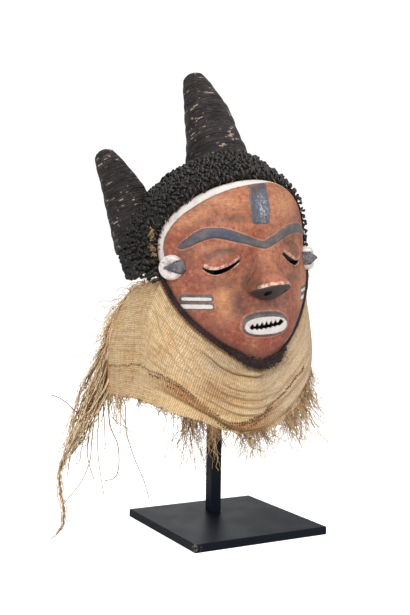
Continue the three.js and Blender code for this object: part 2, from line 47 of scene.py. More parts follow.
CAMERA_AWAY = 1.240286
CAMERA_PAN = (-0.031705, 0.290968)
CAMERA_FOOT = 0.011
CAMERA_LENS = 52.27

level = Vector((math.cos(CAMERA_ROUND), math.sin(CAMERA_ROUND), 0))
back = Vector((level.y, -level.x, math.tan(CAMERA_RISE))) * math.cos(CAMERA_RISE)
upright = back.cross(level)
right = math.cos(CAMERA_ROLL) * level + math.sin(CAMERA_ROLL) * upright
above = math.cos(CAMERA_ROLL) * upright - math.sin(CAMERA_ROLL) * level
place = back * CAMERA_AWAY + level * CAMERA_PAN[0] + upright * CAMERA_PAN[1] + Vector((0, 0, CAMERA_FOOT))
camera = bpy.data.objects.new("camera", bpy.data.cameras.new("camera"))
camera.data.lens = CAMERA_LENS
camera.matrix_world = Matrix((*zip(right, above, back, place), (0, 0, 0, 1)))
bpy.context.scene.collection.objects.link(camera)
bpy.context.scene.camera = camera


# Studio: a white floor that is lit evenly, four soft boxes and a white surround.
# The light is brightest from the mask's right and above, so its left cheek is a little darker.
FLOOR_HALF = 6.0
SURROUND = 0.45
SURROUND_SEEN = 1.1
LIT_POINT = (0, 0, 0.35)
SOFT_BOXES = [
    ("key", (-1.5, -1.6, 1.25), 0.8, 34.0),
    ("fill", (1.7, -1.3, 0.9), 1.4, 15.0),
    ("top", (0.1, 0.0, 2.2), 1.2, 14.0),
    ("back", (0.6, 2.2, 1.4), 1.6, 8.0),
]


def new_node(tree, kind, inputs=None, output=0, **settings):
    """Adds a node with these inputs and settings to a tree, and returns one of its outputs."""
    made = tree.nodes.new(kind)
    for key, value in settings.items():
        setattr(made, key, value)
    for key, value in (inputs or {}).items():
        if isinstance(value, bpy.types.NodeSocket):
            tree.links.new(value, made.inputs[key])
        else:
            made.inputs[key].default_value = value
    return made.outputs[output]


def paint(colour):
    """A colour as it looks on the piece, 0 to 255, made a linear one. One that nodes made stays as it is."""
    if isinstance(colour, bpy.types.NodeSocket):
        return colour
    return tuple(((c / 255 + 0.055) / 1.055) ** 2.4 if c > 10 else c / 3294.6 for c in colour) + (1,)


class Finish:
    """A material that is laid on in coats."""

    def __init__(self, name, roughness, sheen=0.0, specular=0.4):
        self.material = bpy.data.materials.new(name)
        self.material.use_nodes = True
        self.tree = self.material.node_tree
        self.inputs = self.tree.nodes["Principled BSDF"].inputs
        self.inputs["Roughness"].default_value = roughness
        self.inputs["Sheen Weight"].default_value = sheen
        self.inputs["Specular IOR Level"].default_value = specular
        self.spot = self.node("ShaderNodeTexCoord", output="Object")

    def node(self, kind, inputs=None, output=0, **settings):
        return new_node(self.tree, kind, inputs, output, **settings)

    def told(self, name):
        """What the points of the piece were told under a name."""
        return self.node("ShaderNodeAttribute", output="Fac", attribute_name=name, attribute_type="GEOMETRY")

    def noise(self, scale, detail=3.0, rough=0.55, stretch=None):
        inputs = {"Vector": self.spot, "Scale": scale, "Detail": detail, "Roughness": rough}
        if stretch:
            inputs["Vector"] = self.node("ShaderNodeMapping", {"Vector": self.spot, "Scale": stretch})
        return self.node("ShaderNodeTexNoise", inputs)

    def worked(self, operation, first, second=0.0, third=0.0):
        return self.node("ShaderNodeMath", {0: first, 1: second, 2: third}, operation=operation)

    def times(self, first, second, plus=0.0):
        return self.worked("MULTIPLY_ADD", first, second, plus)

    def ease(self, value, low, high, least=0.0, most=1.0):
        """A value between two limits as a share that runs smoothly from its least to its most."""
        limits = {"From Min": low, "From Max": high, "To Min": least, "To Max": most}
        return self.node("ShaderNodeMapRange", {"Value": value, **limits}, interpolation_type="SMOOTHSTEP")

    def coats(self, colour, *layers):
        """A colour under coats: each a colour, and a share or a value with the limits of its ease."""
        for coat, where, *limits in layers:
            share = self.ease(where, *limits) if limits else where
            inputs = {0: share, 6: paint(colour), 7: paint(coat)}
            colour = self.node("ShaderNodeMix", inputs, 2, data_type="RGBA")
        return colour

    def lay(self, colour, height, depth, strength, rough=None):
        """Gives the material its colour, its fine relief and how rough it is."""
        relief = self.node("ShaderNodeBump", {"Height": height, "Strength": strength, "Distance": depth})
        for value, name in ((colour, "Base Color"), (relief, "Normal"), (rough, "Roughness")):
            if value is not None:
                self.tree.links.new(value, self.inputs[name])

    def dress(self, piece):
        piece.data.materials.clear()
        piece.data.materials.append(self.material)


def placed(name, data):
    """Puts a new object with this data into the scene."""
    made = bpy.data.objects.new(name, data)
    bpy.context.scene.collection.objects.link(made)
    return made


def new_piece(name, points, faces, edges=()):
    mesh = bpy.data.meshes.new(name)
    mesh.from_pydata(np.asarray(points, float).tolist(), edges, [tuple(f) for f in faces])
    mesh.update()
    return placed(name, mesh)


white_floor = Finish("studio_floor", 0.9, specular=0.0)
white_floor.inputs["Base Color"].default_value = (0.7, 0.7, 0.7, 1)
white_floor.inputs["Emission Color"].default_value = (1, 1, 1, 1)
seen = white_floor.node("ShaderNodeLightPath", output="Is Camera Ray")
white_floor.tree.links.new(seen, white_floor.inputs["Emission Strength"])
corners = [(x * FLOOR_HALF, y * FLOOR_HALF, 0) for x, y in ((-1, -1), (1, -1), (1, 1), (-1, 1))]
floor = new_piece("studio_floor", corners, [(0, 1, 2, 3)])
white_floor.dress(floor)

surround = bpy.data.worlds.new("surround")
surround.use_nodes = True
sky = surround.node_tree.nodes["Background"]
sky.inputs["Color"].default_value = (1, 1, 1, 1)
seen = new_node(surround.node_tree, "ShaderNodeLightPath", output="Is Camera Ray")
limits = {"Value": seen, "To Min": SURROUND, "To Max": SURROUND_SEEN}
strength = new_node(surround.node_tree, "ShaderNodeMapRange", limits)
surround.node_tree.links.new(strength, sky.inputs["Strength"])
bpy.context.scene.world = surround
for name, at, side, power in SOFT_BOXES:
    lamp = bpy.data.lights.new(name, "AREA")
    lamp.shape = "SQUARE"
    lamp.size = side
    lamp.energy = power
    box = placed(name, lamp)
    box.location = at
    box.rotation_euler = (Vector(LIT_POINT) - Vector(at)).to_track_quat("-Z", "Y").to_euler()
bpy.context.scene.view_settings.view_transform = "Standard"


# Stand: a square steel plate and a square post under satin black paint.
# The paint is rubbed through to grey at the plate's front right corner.
WORN_CORNER = (-0.1, -0.1, 0.005)

satin = Finish("satin_black_paint", 0.42, specular=0.16)
corner = satin.node("ShaderNodeVectorMath", {0: satin.spot, 1: WORN_CORNER}, "Value", operation="DISTANCE")
rubbed = satin.times(satin.ease(corner, 0.002, 0.012, 1.0, 0.0), satin.ease(satin.noise(260), 0.48, 0.62))
colour = satin.coats(
    (6, 10, 20),
    ((12, 19, 34), satin.noise(14, 4.0)),
    ((44, 45, 52), satin.noise(150, 6.0, 0.7), 0.6, 0.78, 0.0, 0.35),
    ((120, 112, 106), rubbed),
)
rough = satin.ease(satin.noise(22, 4.0), 0.3, 0.7, 0.4, 0.48)
satin.lay(colour, satin.noise(900, 2.0), 0.0002, 0.5, rough)
for node in ("base_plate", "post"):
    satin.dress(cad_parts[node])


# Wooden face: one carved piece of light wood, hollow behind, rubbed with red-brown pigment.
# Brow, forehead mark and the outlines of bars and mouth are grey, and rim, lips and bars are chalked white.
# The slits are cut right through; the mouth and the nostrils are blind. Sizes: millimetres across, forward,
# and up.
MASK_FOOT = (3.0, 39.0, 330.0)
MASK_LEAN = math.radians(5)
FACE_HALF_WIDTH = 113
WIDEST_UP = 60
FOREHEAD_RISE = 81
JAW_DROP = 160
JAW_POINT = 2.4
JAW_ROUND = 0.9
FACE_MIDDLE_UP = 25
WOOD_THICK = 10
RIM_DEPTH = 16
LIP_UP = -47.5
MOUTH_FLOOR = 115.5
FACE_SPOKES = 480
FACE_RINGS = 112
BROW_ACROSS = [-99, -95.5, -88, -80, -71, -61, -50, -38, -26, -14, -6, 0, 11, 28, 46, 65, 88, 104]
BROW_UP = [
    58.5, 60.2, 64.4, 69.6, 73.6, 74.7, 72.7, 68.6, 64.2, 59.4, 56.6, 55.8, 59.6, 66.5, 73, 75.8, 75, 71,
]
BROW_HALF_HEIGHTS = [
    -1.5, 2.9, 5, 6.7, 7.3, 6.5, 6.6, 6.2, 5.5, 4.9, 4.8, 5, 5.4, 6.4, 7, 6.6, 5.6, 4,
]
MARK_ROUND = 5.5
SLIT_ACROSS = [26, 33, 38, 43, 48, 53, 58, 63, 68, 72, 76, 82]
SLIT_UP = [43.5, 38.3, 34.8, 31.7, 29.1, 27.0, 25.5, 25.0, 26.1, 28.5, 32.2, 38.5]
LEFT_EYE_HIGHER = 5.0
NOSE_TIP_LEFT = 2.6
NOSE_LEVELS = [-5, 4, 11, 19, 30, 44, 56, 60]
NOSE_STANDS = [42, 37, 31, 21, 11.5, 4.5, 0.5, 0]
NOSE_HALF_WIDTHS = [28.5, 28.8, 26.5, 21, 15.5, 11, 8, 8]
UNDERSIDE_LEVELS = [-24, -20, -16.8, -13.4, -10, -6.4, -2.6, 1.4, 6, 20]
UNDERSIDE_FORWARD = [112, 121, 129, 138, 147, 155, 160.5, 165, 171, 190]
NOSTRIL_ACROSS = 12.5
NOSTRIL_RADII = (3.7, 6.2)
NOSTRIL_FORWARD = 150
NOSTRIL_UP = -5.8
NOSTRIL_SLOPE = 0.53
TEETH_ACROSS = [-26, -24, -21.5, -18, -14.5, -11, -7.5, -4, -0.5, 3, 6.5, 10, 13.5, 17, 20.5, 24, 27]
UPPER_TEETH = [-1.2, 1.0, 3.2, -0.9, 4.4, -0.8, 5.0, -0.4, 5.6, 0.0, 5.8, 0.4, 5.8, 0.9, 5.6, 4.2, 2.2]
LOWER_TEETH = [
    -2.6, -4.4, -5.6, -3.8, -6.4, -4.6, -6.6, -4.4, -6.4, -4, -5.8, -3.2, -4.8, -2.6, -3.6, -2, 0.6,
]
RIM_ACROSS = [-113, -104, -80, -45, -12, 8, 24, 60, 113]
RIM_WIDTHS = [2.4, 4.0, 6.4, 7.0, 6.6, 5.0, 2.4, 1.6, 1.2]
NOT_HERE = -5


def on_stand(points):
    """Points of the mask, in millimetres across, forward and up, as points on the stand, in metres."""
    across, forward, up = np.asarray(points, float).T
    turn, lift = math.cos(MASK_LEAN), math.sin(MASK_LEAN)
    return np.stack([
        MASK_FOOT[0] + across * turn - up * lift,
        MASK_FOOT[1] - forward,
        MASK_FOOT[2] + across * lift + up * turn,
    ], 1) / 1000


def smooth(value, low, high):
    share = np.clip((value - low) / (high - low), 0, 1)
    return share * share * (3 - 2 * share)


def mix(first, second, share):
    return first + (second - first) * share


def bell(first, second=0.0):
    """1 at the middle of a soft blot, and less to its sides."""
    return np.exp(-(first ** 2) - second ** 2)


def most(*values):
    return np.maximum.reduce(values)


def face_edge(turn):
    """The face's outline: a half ellipse over the brow, and a pointed jaw below."""
    turn = np.asarray(turn, float)
    down = np.clip(-np.sin(turn), 0, 1)
    jaw = np.clip(1 - down ** JAW_POINT, 0, 1) ** JAW_ROUND
    upper = np.sin(turn) >= 0
    side = np.sign(np.round(np.cos(turn), 6))
    across = np.where(upper, FACE_HALF_WIDTH * np.cos(turn), side * FACE_HALF_WIDTH * jaw)
    return across, np.where(upper, WIDEST_UP + FOREHEAD_RISE * np.sin(turn), WIDEST_UP - JAW_DROP * down)


def within_edge(x, z):
    """How far a place lies inside the face's outline, and the way out to it."""
    rise = z - WIDEST_UP
    upper_level = np.hypot(x / FACE_HALF_WIDTH, rise / FOREHEAD_RISE)
    upper_x = x / FACE_HALF_WIDTH ** 2 / np.maximum(upper_level, 0.1)
    upper_z = rise / FOREHEAD_RISE ** 2 / np.maximum(upper_level, 0.1)
    down = np.maximum(-rise, 0) / JAW_DROP
    wide = np.maximum(np.abs(x) / FACE_HALF_WIDTH, 1e-3)
    lower_level = wide ** (1 / JAW_ROUND) + down ** JAW_POINT
    lower_x = np.sign(x) * wide ** (1 / JAW_ROUND - 1) / JAW_ROUND / FACE_HALF_WIDTH
    lower_z = -JAW_POINT / JAW_DROP * down ** (JAW_POINT - 1)
    pairs = ((upper_level, lower_level), (upper_x, lower_x), (upper_z, lower_z))
    level, out_x, out_z = (np.where(z >= WIDEST_UP, *pair) for pair in pairs)
    steep = np.maximum(np.hypot(out_x, out_z), 1e-3)
    return (1 - level) / steep, out_x / steep, out_z / steep


def face_base(x, z):
    """How far forward the face's plain curve lies, without rim or carving."""
    chin = 0.11 * np.maximum(0, WIDEST_UP - z)
    crown = 8 * np.clip((z - WIDEST_UP) / FOREHEAD_RISE, 0, 1) ** 4
    side = 62 + 12 * smooth(z, 0, WIDEST_UP)
    return 134 - chin - crown - side * (x / FACE_HALF_WIDTH) ** 2


def smooth_face(x, z):
    """The plain curve with its edge rounded off."""
    near = np.clip(1 - within_edge(x, z)[0] / 14, 0, 1)
    round_off = mix(np.where(z > WIDEST_UP, 12, 5), 3, (x / FACE_HALF_WIDTH) ** 2)
    return face_base(x, z) - round_off * (1 - np.sqrt(1 - near * near))


def through(x, knots, values):
    """A smooth line through the given values."""
    knots, values = np.asarray(knots, float), np.asarray(values, float)
    slopes = np.gradient(values, knots)
    x = np.clip(x, knots[0], knots[-1])
    i = np.clip(np.searchsorted(knots, x, side="right") - 1, 0, len(knots) - 2)
    width = knots[i + 1] - knots[i]
    t = (x - knots[i]) / width
    start = (1 + 2 * t) * (1 - t) ** 2 * values[i] + t * (1 - t) ** 2 * width * slopes[i]
    return start + t * t * (3 - 2 * t) * values[i + 1] + t * t * (t - 1) * width * slopes[i + 1]


def brow_up(x):
    return through(x, BROW_ACROSS, BROW_UP)


def within_brow(x, z):
    """How far a place lies inside the painted brow: positive inside."""
    slope = (brow_up(x + 1) - brow_up(x - 1)) / 2
    return through(x, BROW_ACROSS, BROW_HALF_HEIGHTS) - np.abs(z - brow_up(x)) / np.sqrt(1 + slope ** 2)


def within_mark(x, z):
    """How far a place lies inside the upright mark on the forehead."""
    dx = np.abs(x + 2.9 + 0.5 * np.sin(z / 6.0)) - (13.1 + 0.9 * np.sin((z - 84) / 16) - MARK_ROUND)
    dz = np.abs(z - 111) - (28.5 - MARK_ROUND)
    outside = np.hypot(np.maximum(dx, 0), np.maximum(dz, 0)) + np.minimum(np.maximum(dx, dz), 0)
    return MARK_ROUND - outside


def slit_up(x):
    return through(np.abs(x), SLIT_ACROSS, SLIT_UP) + LEFT_EYE_HIGHER * (x > 0)


def lid_level(x, z):
    """0 in the middle of an eye's lid and 1 at its outline."""
    up = z - LEFT_EYE_HIGHER * (x > 0)
    return np.hypot((np.abs(x) - 55) / 25.5, (up - 33.5 + 0.1 * (np.abs(x) - 55)) / 20)


def mouth_level(x, z, half_width, half_height):
    """1 on the mouth's outline of that size, less inside it."""
    wide = np.abs(x) / half_width
    tall = np.abs(z - LIP_UP + 0.03 * x) / half_height
    return (wide ** 2.7 + tall ** 2.35) ** (1 / 2.5)


def soft_least(first, second, reach):
    share = np.clip(0.5 + 0.5 * (second - first) / reach, 0, 1)
    return mix(second, first, share) - reach * share * (1 - share)


def across_nose(x, z):
    """Places across the nose, from its own middle line: its tip is a little to the left."""
    return x - NOSE_TIP_LEFT * smooth(-z, -40, -8)


def nose_underside(x, z):
    """How far forward the underside of the nose lies: its lower edge rises towards its wings."""
    return through(z - 9.5 * (across_nose(x, z) / 26) ** 2, UNDERSIDE_LEVELS, UNDERSIDE_FORWARD)


def carved_face(x, z):
    """How far forward the carved front lies."""
    socket = 4.5 * bell((np.abs(x) - 52) / 32, (z - 62) / 9)
    flat = 4 + 56 * (x / FACE_HALF_WIDTH) ** 2
    mouth = flat * bell((x / 47) ** 2, (z - LIP_UP) / 25)
    by_nose = 2.2 * bell((np.abs(x) - 31) / 11, (z - 20) / 24)
    uneven = 0.45 * np.sin(x / 11 + 1.3 * np.sin(z / 17)) * np.sin(z / 13 + 0.8 * np.sin(x / 19 + 1))
    front = smooth_face(x, z) - socket - by_nose + mouth + uneven * smooth(within_edge(x, z)[0], 2, 14)
    front += 2.6 * smooth(within_brow(x, z), -0.3, 2.4)
    front += 2.0 * smooth(within_mark(x, z), -0.2, 1.8)
    level = lid_level(x, z)
    over_slit = smooth(z - slit_up(x), -0.9, 0.9)
    front += 4.6 * np.clip(1 - level ** 2, 0, 1) ** 0.6 * over_slit
    front -= 1.1 * bell((level - 1.02) / 0.09) * over_slit
    lower_lid = smooth(np.abs(x), 30, 38) * smooth(-np.abs(x), -78, -70)
    front += 0.9 * bell((slit_up(x) - 4.6 - z) / 1.9) * lower_lid
    stand = through(z, NOSE_LEVELS, NOSE_STANDS)
    half = through(z, NOSE_LEVELS, NOSE_HALF_WIDTHS)
    full = np.clip(1 - (np.abs(across_nose(x, z)) / half) ** 2.2, 0, 1)
    top = front + stand * full ** (1 / 2.2) - 4 * (1 - np.clip(full / 0.12, 0, 1)) - 4 * smooth(z, 50, 60)
    nose = soft_least(top, nose_underside(x, z), 4.2)
    front = -soft_least(-front, -nose, 3.0)
    front += 3.3 * smooth(-mouth_level(x, z, 35, 15.5), -1.03, -0.88)
    front -= 0.8 * smooth(-mouth_level(x, z, 28, 8), -1.05, -0.7)
    return front


def ring_of(size, depth_of):
    """A closed ring round the face: its outline drawn in to a size, as far forward as its places lie."""
    edge_x, edge_z = face_edge(np.arange(FACE_SPOKES) / FACE_SPOKES * 2 * np.pi)
    x = size * edge_x
    z = FACE_MIDDLE_UP + size * (edge_z - FACE_MIDDLE_UP)
    return np.stack([x, depth_of(x, z, edge_x, edge_z), z], 1)


def between_rings(rings, around):
    """Faces over closed rings, each of so many points."""
    turn = np.arange(around)
    following = (turn + 1) % around
    faces = []
    for low in range(0, (rings - 1) * around, around):
        high = low + around
        faces += np.stack([low + turn, low + following, high + following, high + turn], 1).tolist()
    return faces


def skin_over(rings, first=None, last=None):
    """Points and faces of a skin over closed rings of equal length, with a pole at either end."""
    count = len(rings[0])
    points = np.concatenate(rings)
    faces = between_rings(len(rings), count)
    turn = np.arange(count)
    following = (turn + 1) % count
    base = (len(rings) - 1) * count
    for pole, lower, upper in ((first, following, turn), (last, base + turn, base + following)):
        if pole is not None:
            faces += np.stack([np.full(count, len(points)), lower, upper], 1).tolist()
            points = np.concatenate([points, [pole]])
    return points, faces


def capped(rings):
    """A skin over closed rings, with flat ends."""
    return skin_over(rings, rings[0].mean(0), rings[-1].mean(0))


def whole_of(parts):
    """Several skins as one."""
    points, faces = [], []
    for part_points, part_faces in parts:
        start = sum(len(p) for p in points)
        points.append(part_points)
        faces += [[start + i for i in face] for face in part_faces]
    return np.concatenate(points), faces


def turned_out(piece):
    """Recalculates a closed mesh's normals, so that its faces point outwards."""
    made = bmesh.new()
    made.from_mesh(piece.data)
    bmesh.ops.recalc_face_normals(made, faces=made.faces)
    if made.calc_volume(signed=True) < 0:
        bmesh.ops.reverse_faces(made, faces=made.faces)
    made.to_mesh(piece.data)
    made.free()
    return piece


def after_modifiers(piece):
    """The piece with its modifiers made part of its mesh."""
    evaluated = piece.evaluated_get(bpy.context.evaluated_depsgraph_get())
    made = bpy.data.meshes.new_from_object(evaluated)
    piece.modifiers.clear()
    piece.data = made
    return piece


def cut_away(piece, cutter, operation="DIFFERENCE"):
    tool = piece.modifiers.new("cut", "BOOLEAN")
    tool.object = cutter
    tool.operation = operation
    tool.solver = "MANIFOLD"
    after_modifiers(piece)
    bpy.data.objects.remove(cutter)
    return piece


def points_of(piece):
    points = np.empty(len(piece.data.vertices) * 3)
    piece.data.vertices.foreach_get("co", points)
    return points.reshape(-1, 3)


def move_points(piece, points):
    piece.data.vertices.foreach_set("co", np.asarray(points, np.float32).ravel())
    piece.data.update()


def mark_points(piece, **told):
    """Tells each point of the piece a value, under a name that finishes and recipes read."""
    for name, values in told.items():
        flat = np.asarray(values, np.float32)
        kind, key = ("FLOAT", "value") if flat.ndim == 1 else ("FLOAT_VECTOR", "vector")
        piece.data.attributes.new(name, kind, "POINT").data.foreach_set(key, flat.ravel())


def carved(x, z, edge_x, edge_z):
    return carved_face(x, z)


def hollow(x, z, edge_x, edge_z):
    return face_base(x, z) - WOOD_THICK + 0.5 * np.sin(x / 8) * np.sin(z / 9)


def behind_rim(share):
    return lambda x, z, edge_x, edge_z: smooth_face(edge_x, edge_z) - RIM_DEPTH * share


rings = [ring_of(size, carved) for size in np.linspace(1 / FACE_RINGS, 1, FACE_RINGS)]
rings += [ring_of(1, behind_rim(share)) for share in (0.25, 0.5, 0.75, 1.0)]
rings += [ring_of(size, behind_rim(1)) for size in (0.965, 0.93)]
rings += [ring_of(size, hollow) for size in (0.89, 0.78, 0.66, 0.55, 0.44, 0.34, 0.24, 0.14, 0.06)]
middle = [0, float(carved_face(np.array(0.0), np.array(25.0))), FACE_MIDDLE_UP]
inner_middle = [0, 134 - 0.11 * 35 - WOOD_THICK, FACE_MIDDLE_UP]
face = turned_out(new_piece("carved_face", *skin_over(rings, middle, inner_middle)))


def cut_through(outline, start, end):
    """A straight cutter through the wood: an outline across and up, from one distance forward to another."""
    return capped([np.insert(outline, 1, forward, 1) for forward in (start, end)])


cuts = []
t = np.linspace(0, 1, 26)
around = np.linspace(0, 2 * np.pi, 20, endpoint=False)
for side in (-1, 1):
    x = mix(32.2, 75.5, t)
    half = 3.4 * np.sin(np.pi * (0.14 + 0.8 * t)) ** 0.6
    upper = np.stack([side * x, slit_up(side * x) + half * 0.85], 1)
    lower = np.stack([side * x, slit_up(side * x) - half * 1.25], 1)[::-1]
    cuts.append(cut_through(np.concatenate([upper, lower]), 60, 170))
    across = NOSE_TIP_LEFT + side * NOSTRIL_ACROSS + NOSTRIL_RADII[0] * np.cos(around)
    bore = np.stack([across, np.zeros(20), NOSTRIL_RADII[1] * np.sin(around)], 1)
    cuts.append(capped([
        bore + [0, NOSTRIL_FORWARD + reach, NOSTRIL_UP - NOSTRIL_SLOPE * reach] for reach in (-14, 20)
    ]))
across = np.array(TEETH_ACROSS + TEETH_ACROSS[::-1])
up = LIP_UP + np.array(UPPER_TEETH + LOWER_TEETH[::-1])
cuts.append(cut_through(np.stack([across, up], 1), MOUTH_FLOOR, 150))
cut_away(face, turned_out(new_piece("face_cuts", *whole_of(cuts))))

spots = points_of(face)
x, f, z = spots.T
inside = within_edge(x, z)[0]
behind = carved_face(x, z) - f
level = lid_level(x, z)
below_slit = slit_up(x) - z
along_slit = smooth(np.abs(x), 30, 35) * smooth(-np.abs(x), -77, -73)
rim_band = np.minimum(np.interp(x, RIM_ACROSS, RIM_WIDTHS) - inside, (z - 30 - 6 * np.sin(x / 15)) * 0.8)
lips = 1 - mouth_level(x + 0.3, z + 1.2, 32, 11.4)
# The left cheek's bars sit further back than the right's.
along_bars = np.where(x < 0, -x, x - 11)
across_bars = z - 0.083 * (along_bars - 82)
bar_end = np.minimum(along_bars - 67, 97 - along_bars)


def within_bar(middle, half, longer=0.0):
    return half - np.hypot(np.abs(across_bars - middle), np.maximum(half * 0.8 - bar_end - longer, 0))


def blots(*table):
    """The strongest of several blots: each has its strength, its middle and width across, and both up."""
    return most(*(s * bell((x - across) / wide, (z - up) / tall) for s, across, wide, up, tall in table))


upper_bar, lower_bar = within_bar(-8.4, 2.1), within_bar(-18.2, 2.8, 1.0)
chalk = most(rim_band, lips * 13, upper_bar, lower_bar)
bars_outline = most(upper_bar + 2.2, lower_bar + 1.7, within_bar(-5.4, 2.6, 1.0) + 0.6)
mouth_ring = np.minimum(16 * (1.0 - mouth_level(x, z - 0.6, 34.6, 16.6)), 14)
brow, mark = within_brow(x, z), within_mark(x, z)
on_nose = smooth(f - smooth_face(x, z), 3, 8) * smooth(-np.abs(x), -33, -29) * smooth(z, -21, -17)
under_by = nose_underside(x, z) - f
# Painted shade on the nose's underside, where it faces down: it takes the grey paint and the darker patches
# below.
painted_underside_shade = on_nose * smooth(-under_by, -4.6, -3.2) * (z < 16)
grey = np.where(painted_underside_shade > 0.2, 6 * painted_underside_shade, most(brow, mark, bars_outline, mouth_ring))
lid_edge = np.where(below_slit < 0, 3.2 + below_slit * 0.5, 4.4 - below_slit)
lid_edge = lid_edge * along_slit - (1 - along_slit) * 4
# A painted highlight: a pale line along the front rim of the nose.
near_rim = (np.abs(x) < 25) & (f > 146) & (z > -6) & (z < 14)
nose_rim_highlight = np.where(near_rim, 2.0 - np.abs(under_by - 7.8) / 2.0 - 1.6 * bell((x - 9) / 2.5), -3)
outlined = most(
    0.8 - np.abs(brow + 0.9), 0.6 - np.abs(mouth_ring + 0.9), 0.3 - np.abs(bars_outline + 0.8),
)
shadow = 0.7 - np.abs(rim_band + 0.9) - 3 * smooth(x, 0, 20)
# Painted shade: darker patches under and beside the nose, round and below the eyes, above the brow, over the
# lip, at the temple and towards the jaw.
soot = most(
    painted_underside_shade * 1.4,
    0.95 * bell((np.abs(across_nose(x, z)) - 27) / 8, (z - 10) / 14),
    0.72 * bell((level - 0.82) / 0.28) * smooth(-below_slit, 8, 20),
    0.55 * bell((np.abs(x) - 52) / 22, (z - 10) / 8),
    0.75 * smooth(-z, 52, 98) * smooth(-inside, -28, -3),
    0.5 * smooth(-inside, -7, -1) * smooth(-z, -40, 10),
    blots(
        (0.5, -15, 7, 26, 14), (0.75, -35, 11, -18, 20), (0.65, -33, 24, 91, 6.5), (0.65, 48, 18, 52, 9),
        (0.55, 0, 40, -21, 9), (0.5, -92, 9, 52, 12), (0.4, -66, 16, -48, 22),
    ),
)
# Lighter patches: rubbed wear on the forehead and cheeks, and a painted highlight on the far cheek, the blot
# at 82 across.
worn = most(
    0.8 * bell((x + 44) / 26, (z - 114 + 0.2 * (x + 44)) / 9),
    0.8 * bell((x + 82) / 20, (z - 96 - 0.5 * (x + 82)) / 9),
    blots(
        (0.85, 42, 26, 112, 18), (0.95, -53, 9.5, -12, 25), (0.5, -60, 16, 52, 5), (0.35, 4, 10, 40, 20),
        (0.45, -18, 9, -66, 14), (0.6, 82, 16, -8, 30),
    ),
)
red = most(
    0.9 * smooth(-z, 15, 62), blots((0.8, -98, 13, 66, 26), (0.75, -84, 17, 14, 20), (0.35, 60, 26, 0, 26)),
)
behind_front = (behind > 1.1) & ((inside > 2.5) | (behind > 3.0)) & (inside > 1.2)
bore = np.hypot(
    (np.abs(x - NOSE_TIP_LEFT) - NOSTRIL_ACROSS) / NOSTRIL_RADII[0],
    (z - NOSTRIL_UP + NOSTRIL_SLOPE * (f - NOSTRIL_FORWARD)) / NOSTRIL_RADII[1],
)
# Pale paint edges the eye slits; the pale line on the nose's rim is a painted highlight.
pale = np.maximum(lid_edge, nose_rim_highlight)
on_front = {"chalk": chalk, "grey": grey, "pale": pale, "outlined": outlined, "shadow": shadow}
mark_points(face, **{name: np.where(behind_front, NOT_HERE, values) for name, values in on_front.items()})
mark_points(
    face, red=red, soot=soot, worn=worn, mark=smooth(mark, -2, 0),
    # Painted highlight: pale flecks in the middle of the forehead mark, for its gloss.
    dusty=bell((x + 1.5) / 7.5, (z - 103) / 17),
    faded=smooth(mark, -2, 0) * smooth(z - 0.8 * x, 124, 140),
    blue=bell((x + 48) / 30) * (z < 84) * (z > 50),
    # The walls of the cuts, the nostril bores and the hollow behind are painted near-black, a painted shade
    # that keeps the holes dark.
    cut=behind_front | (f < 160) & (bore < 1.06),
)
move_points(face, on_stand(spots))

wood = Finish("rubbed_red_pigment", 0.5, specular=0.45)
cloud = wood.noise(26, 5.0, 0.62)
patch = wood.noise(75, 6.0, 0.68)
speck = wood.noise(420, 4.0, 0.7)
streak = wood.noise(130, 5.0, 0.65, (1.0, 1.0, 3.4))
mottle = wood.noise(180, 5.0, 0.7)
grain = wood.noise(300, 4.0, 0.7, (0.25, 0.5, 1.0))
ragged = wood.times(wood.noise(380), 1.5, -0.75)


def edge(name, soft=0.35):
    """A painted sign's share, with a ragged edge."""
    return wood.ease(wood.worked("ADD", wood.told(name), ragged), -soft, soft)


def partly(name, *limits):
    """A told share, broken by an eased noise."""
    return wood.times(wood.told(name), wood.ease(*limits))


both = wood.worked("ADD", streak, patch)
outline_share = wood.times(edge("outlined"), wood.ease(patch, 0.35, 0.6, 0.1, 0.5))
pale_and_highlight_share = wood.times(edge("pale", 0.6), wood.ease(patch, 0.34, 0.55, 0.35, 0.95))
pale_and_highlight_share = wood.times(pale_and_highlight_share, wood.ease(mottle, 0.44, 0.56, 1.0, 0.25))
chalk_share = edge("chalk")
cut_shade_share = wood.ease(wood.told("cut"), 0.0, 0.4)
glossy = wood.coats(
    (54, 56, 68),
    ((86, 88, 100), cloud, 0.4, 0.6),
    # Painted highlight flecks on the mark.
    ((184, 184, 194), partly("dusty", speck, 0.44, 0.6)),
    ((118, 84, 68), partly("faded", patch, 0.35, 0.6, 0.4, 0.95)),
)
slate = wood.coats(
    (80, 74, 76),
    ((120, 108, 104), patch, 0.35, 0.7),
    ((78, 83, 100), partly("blue", cloud, 0.3, 0.6, 0.4, 0.9)),
    ((156, 148, 150), streak, 0.58, 0.75, 0, 0.6),
    (glossy, wood.told("mark")),
    # Painted shade darkens the grey.
    ((58, 46, 43), wood.times(wood.told("soot"), 0.7)),
)
white = wood.coats(
    (224, 216, 210),
    ((188, 176, 168), patch, 0.45, 0.8),
    ((160, 140, 128), speck, 0.6, 0.75, 0, 0.6),
)
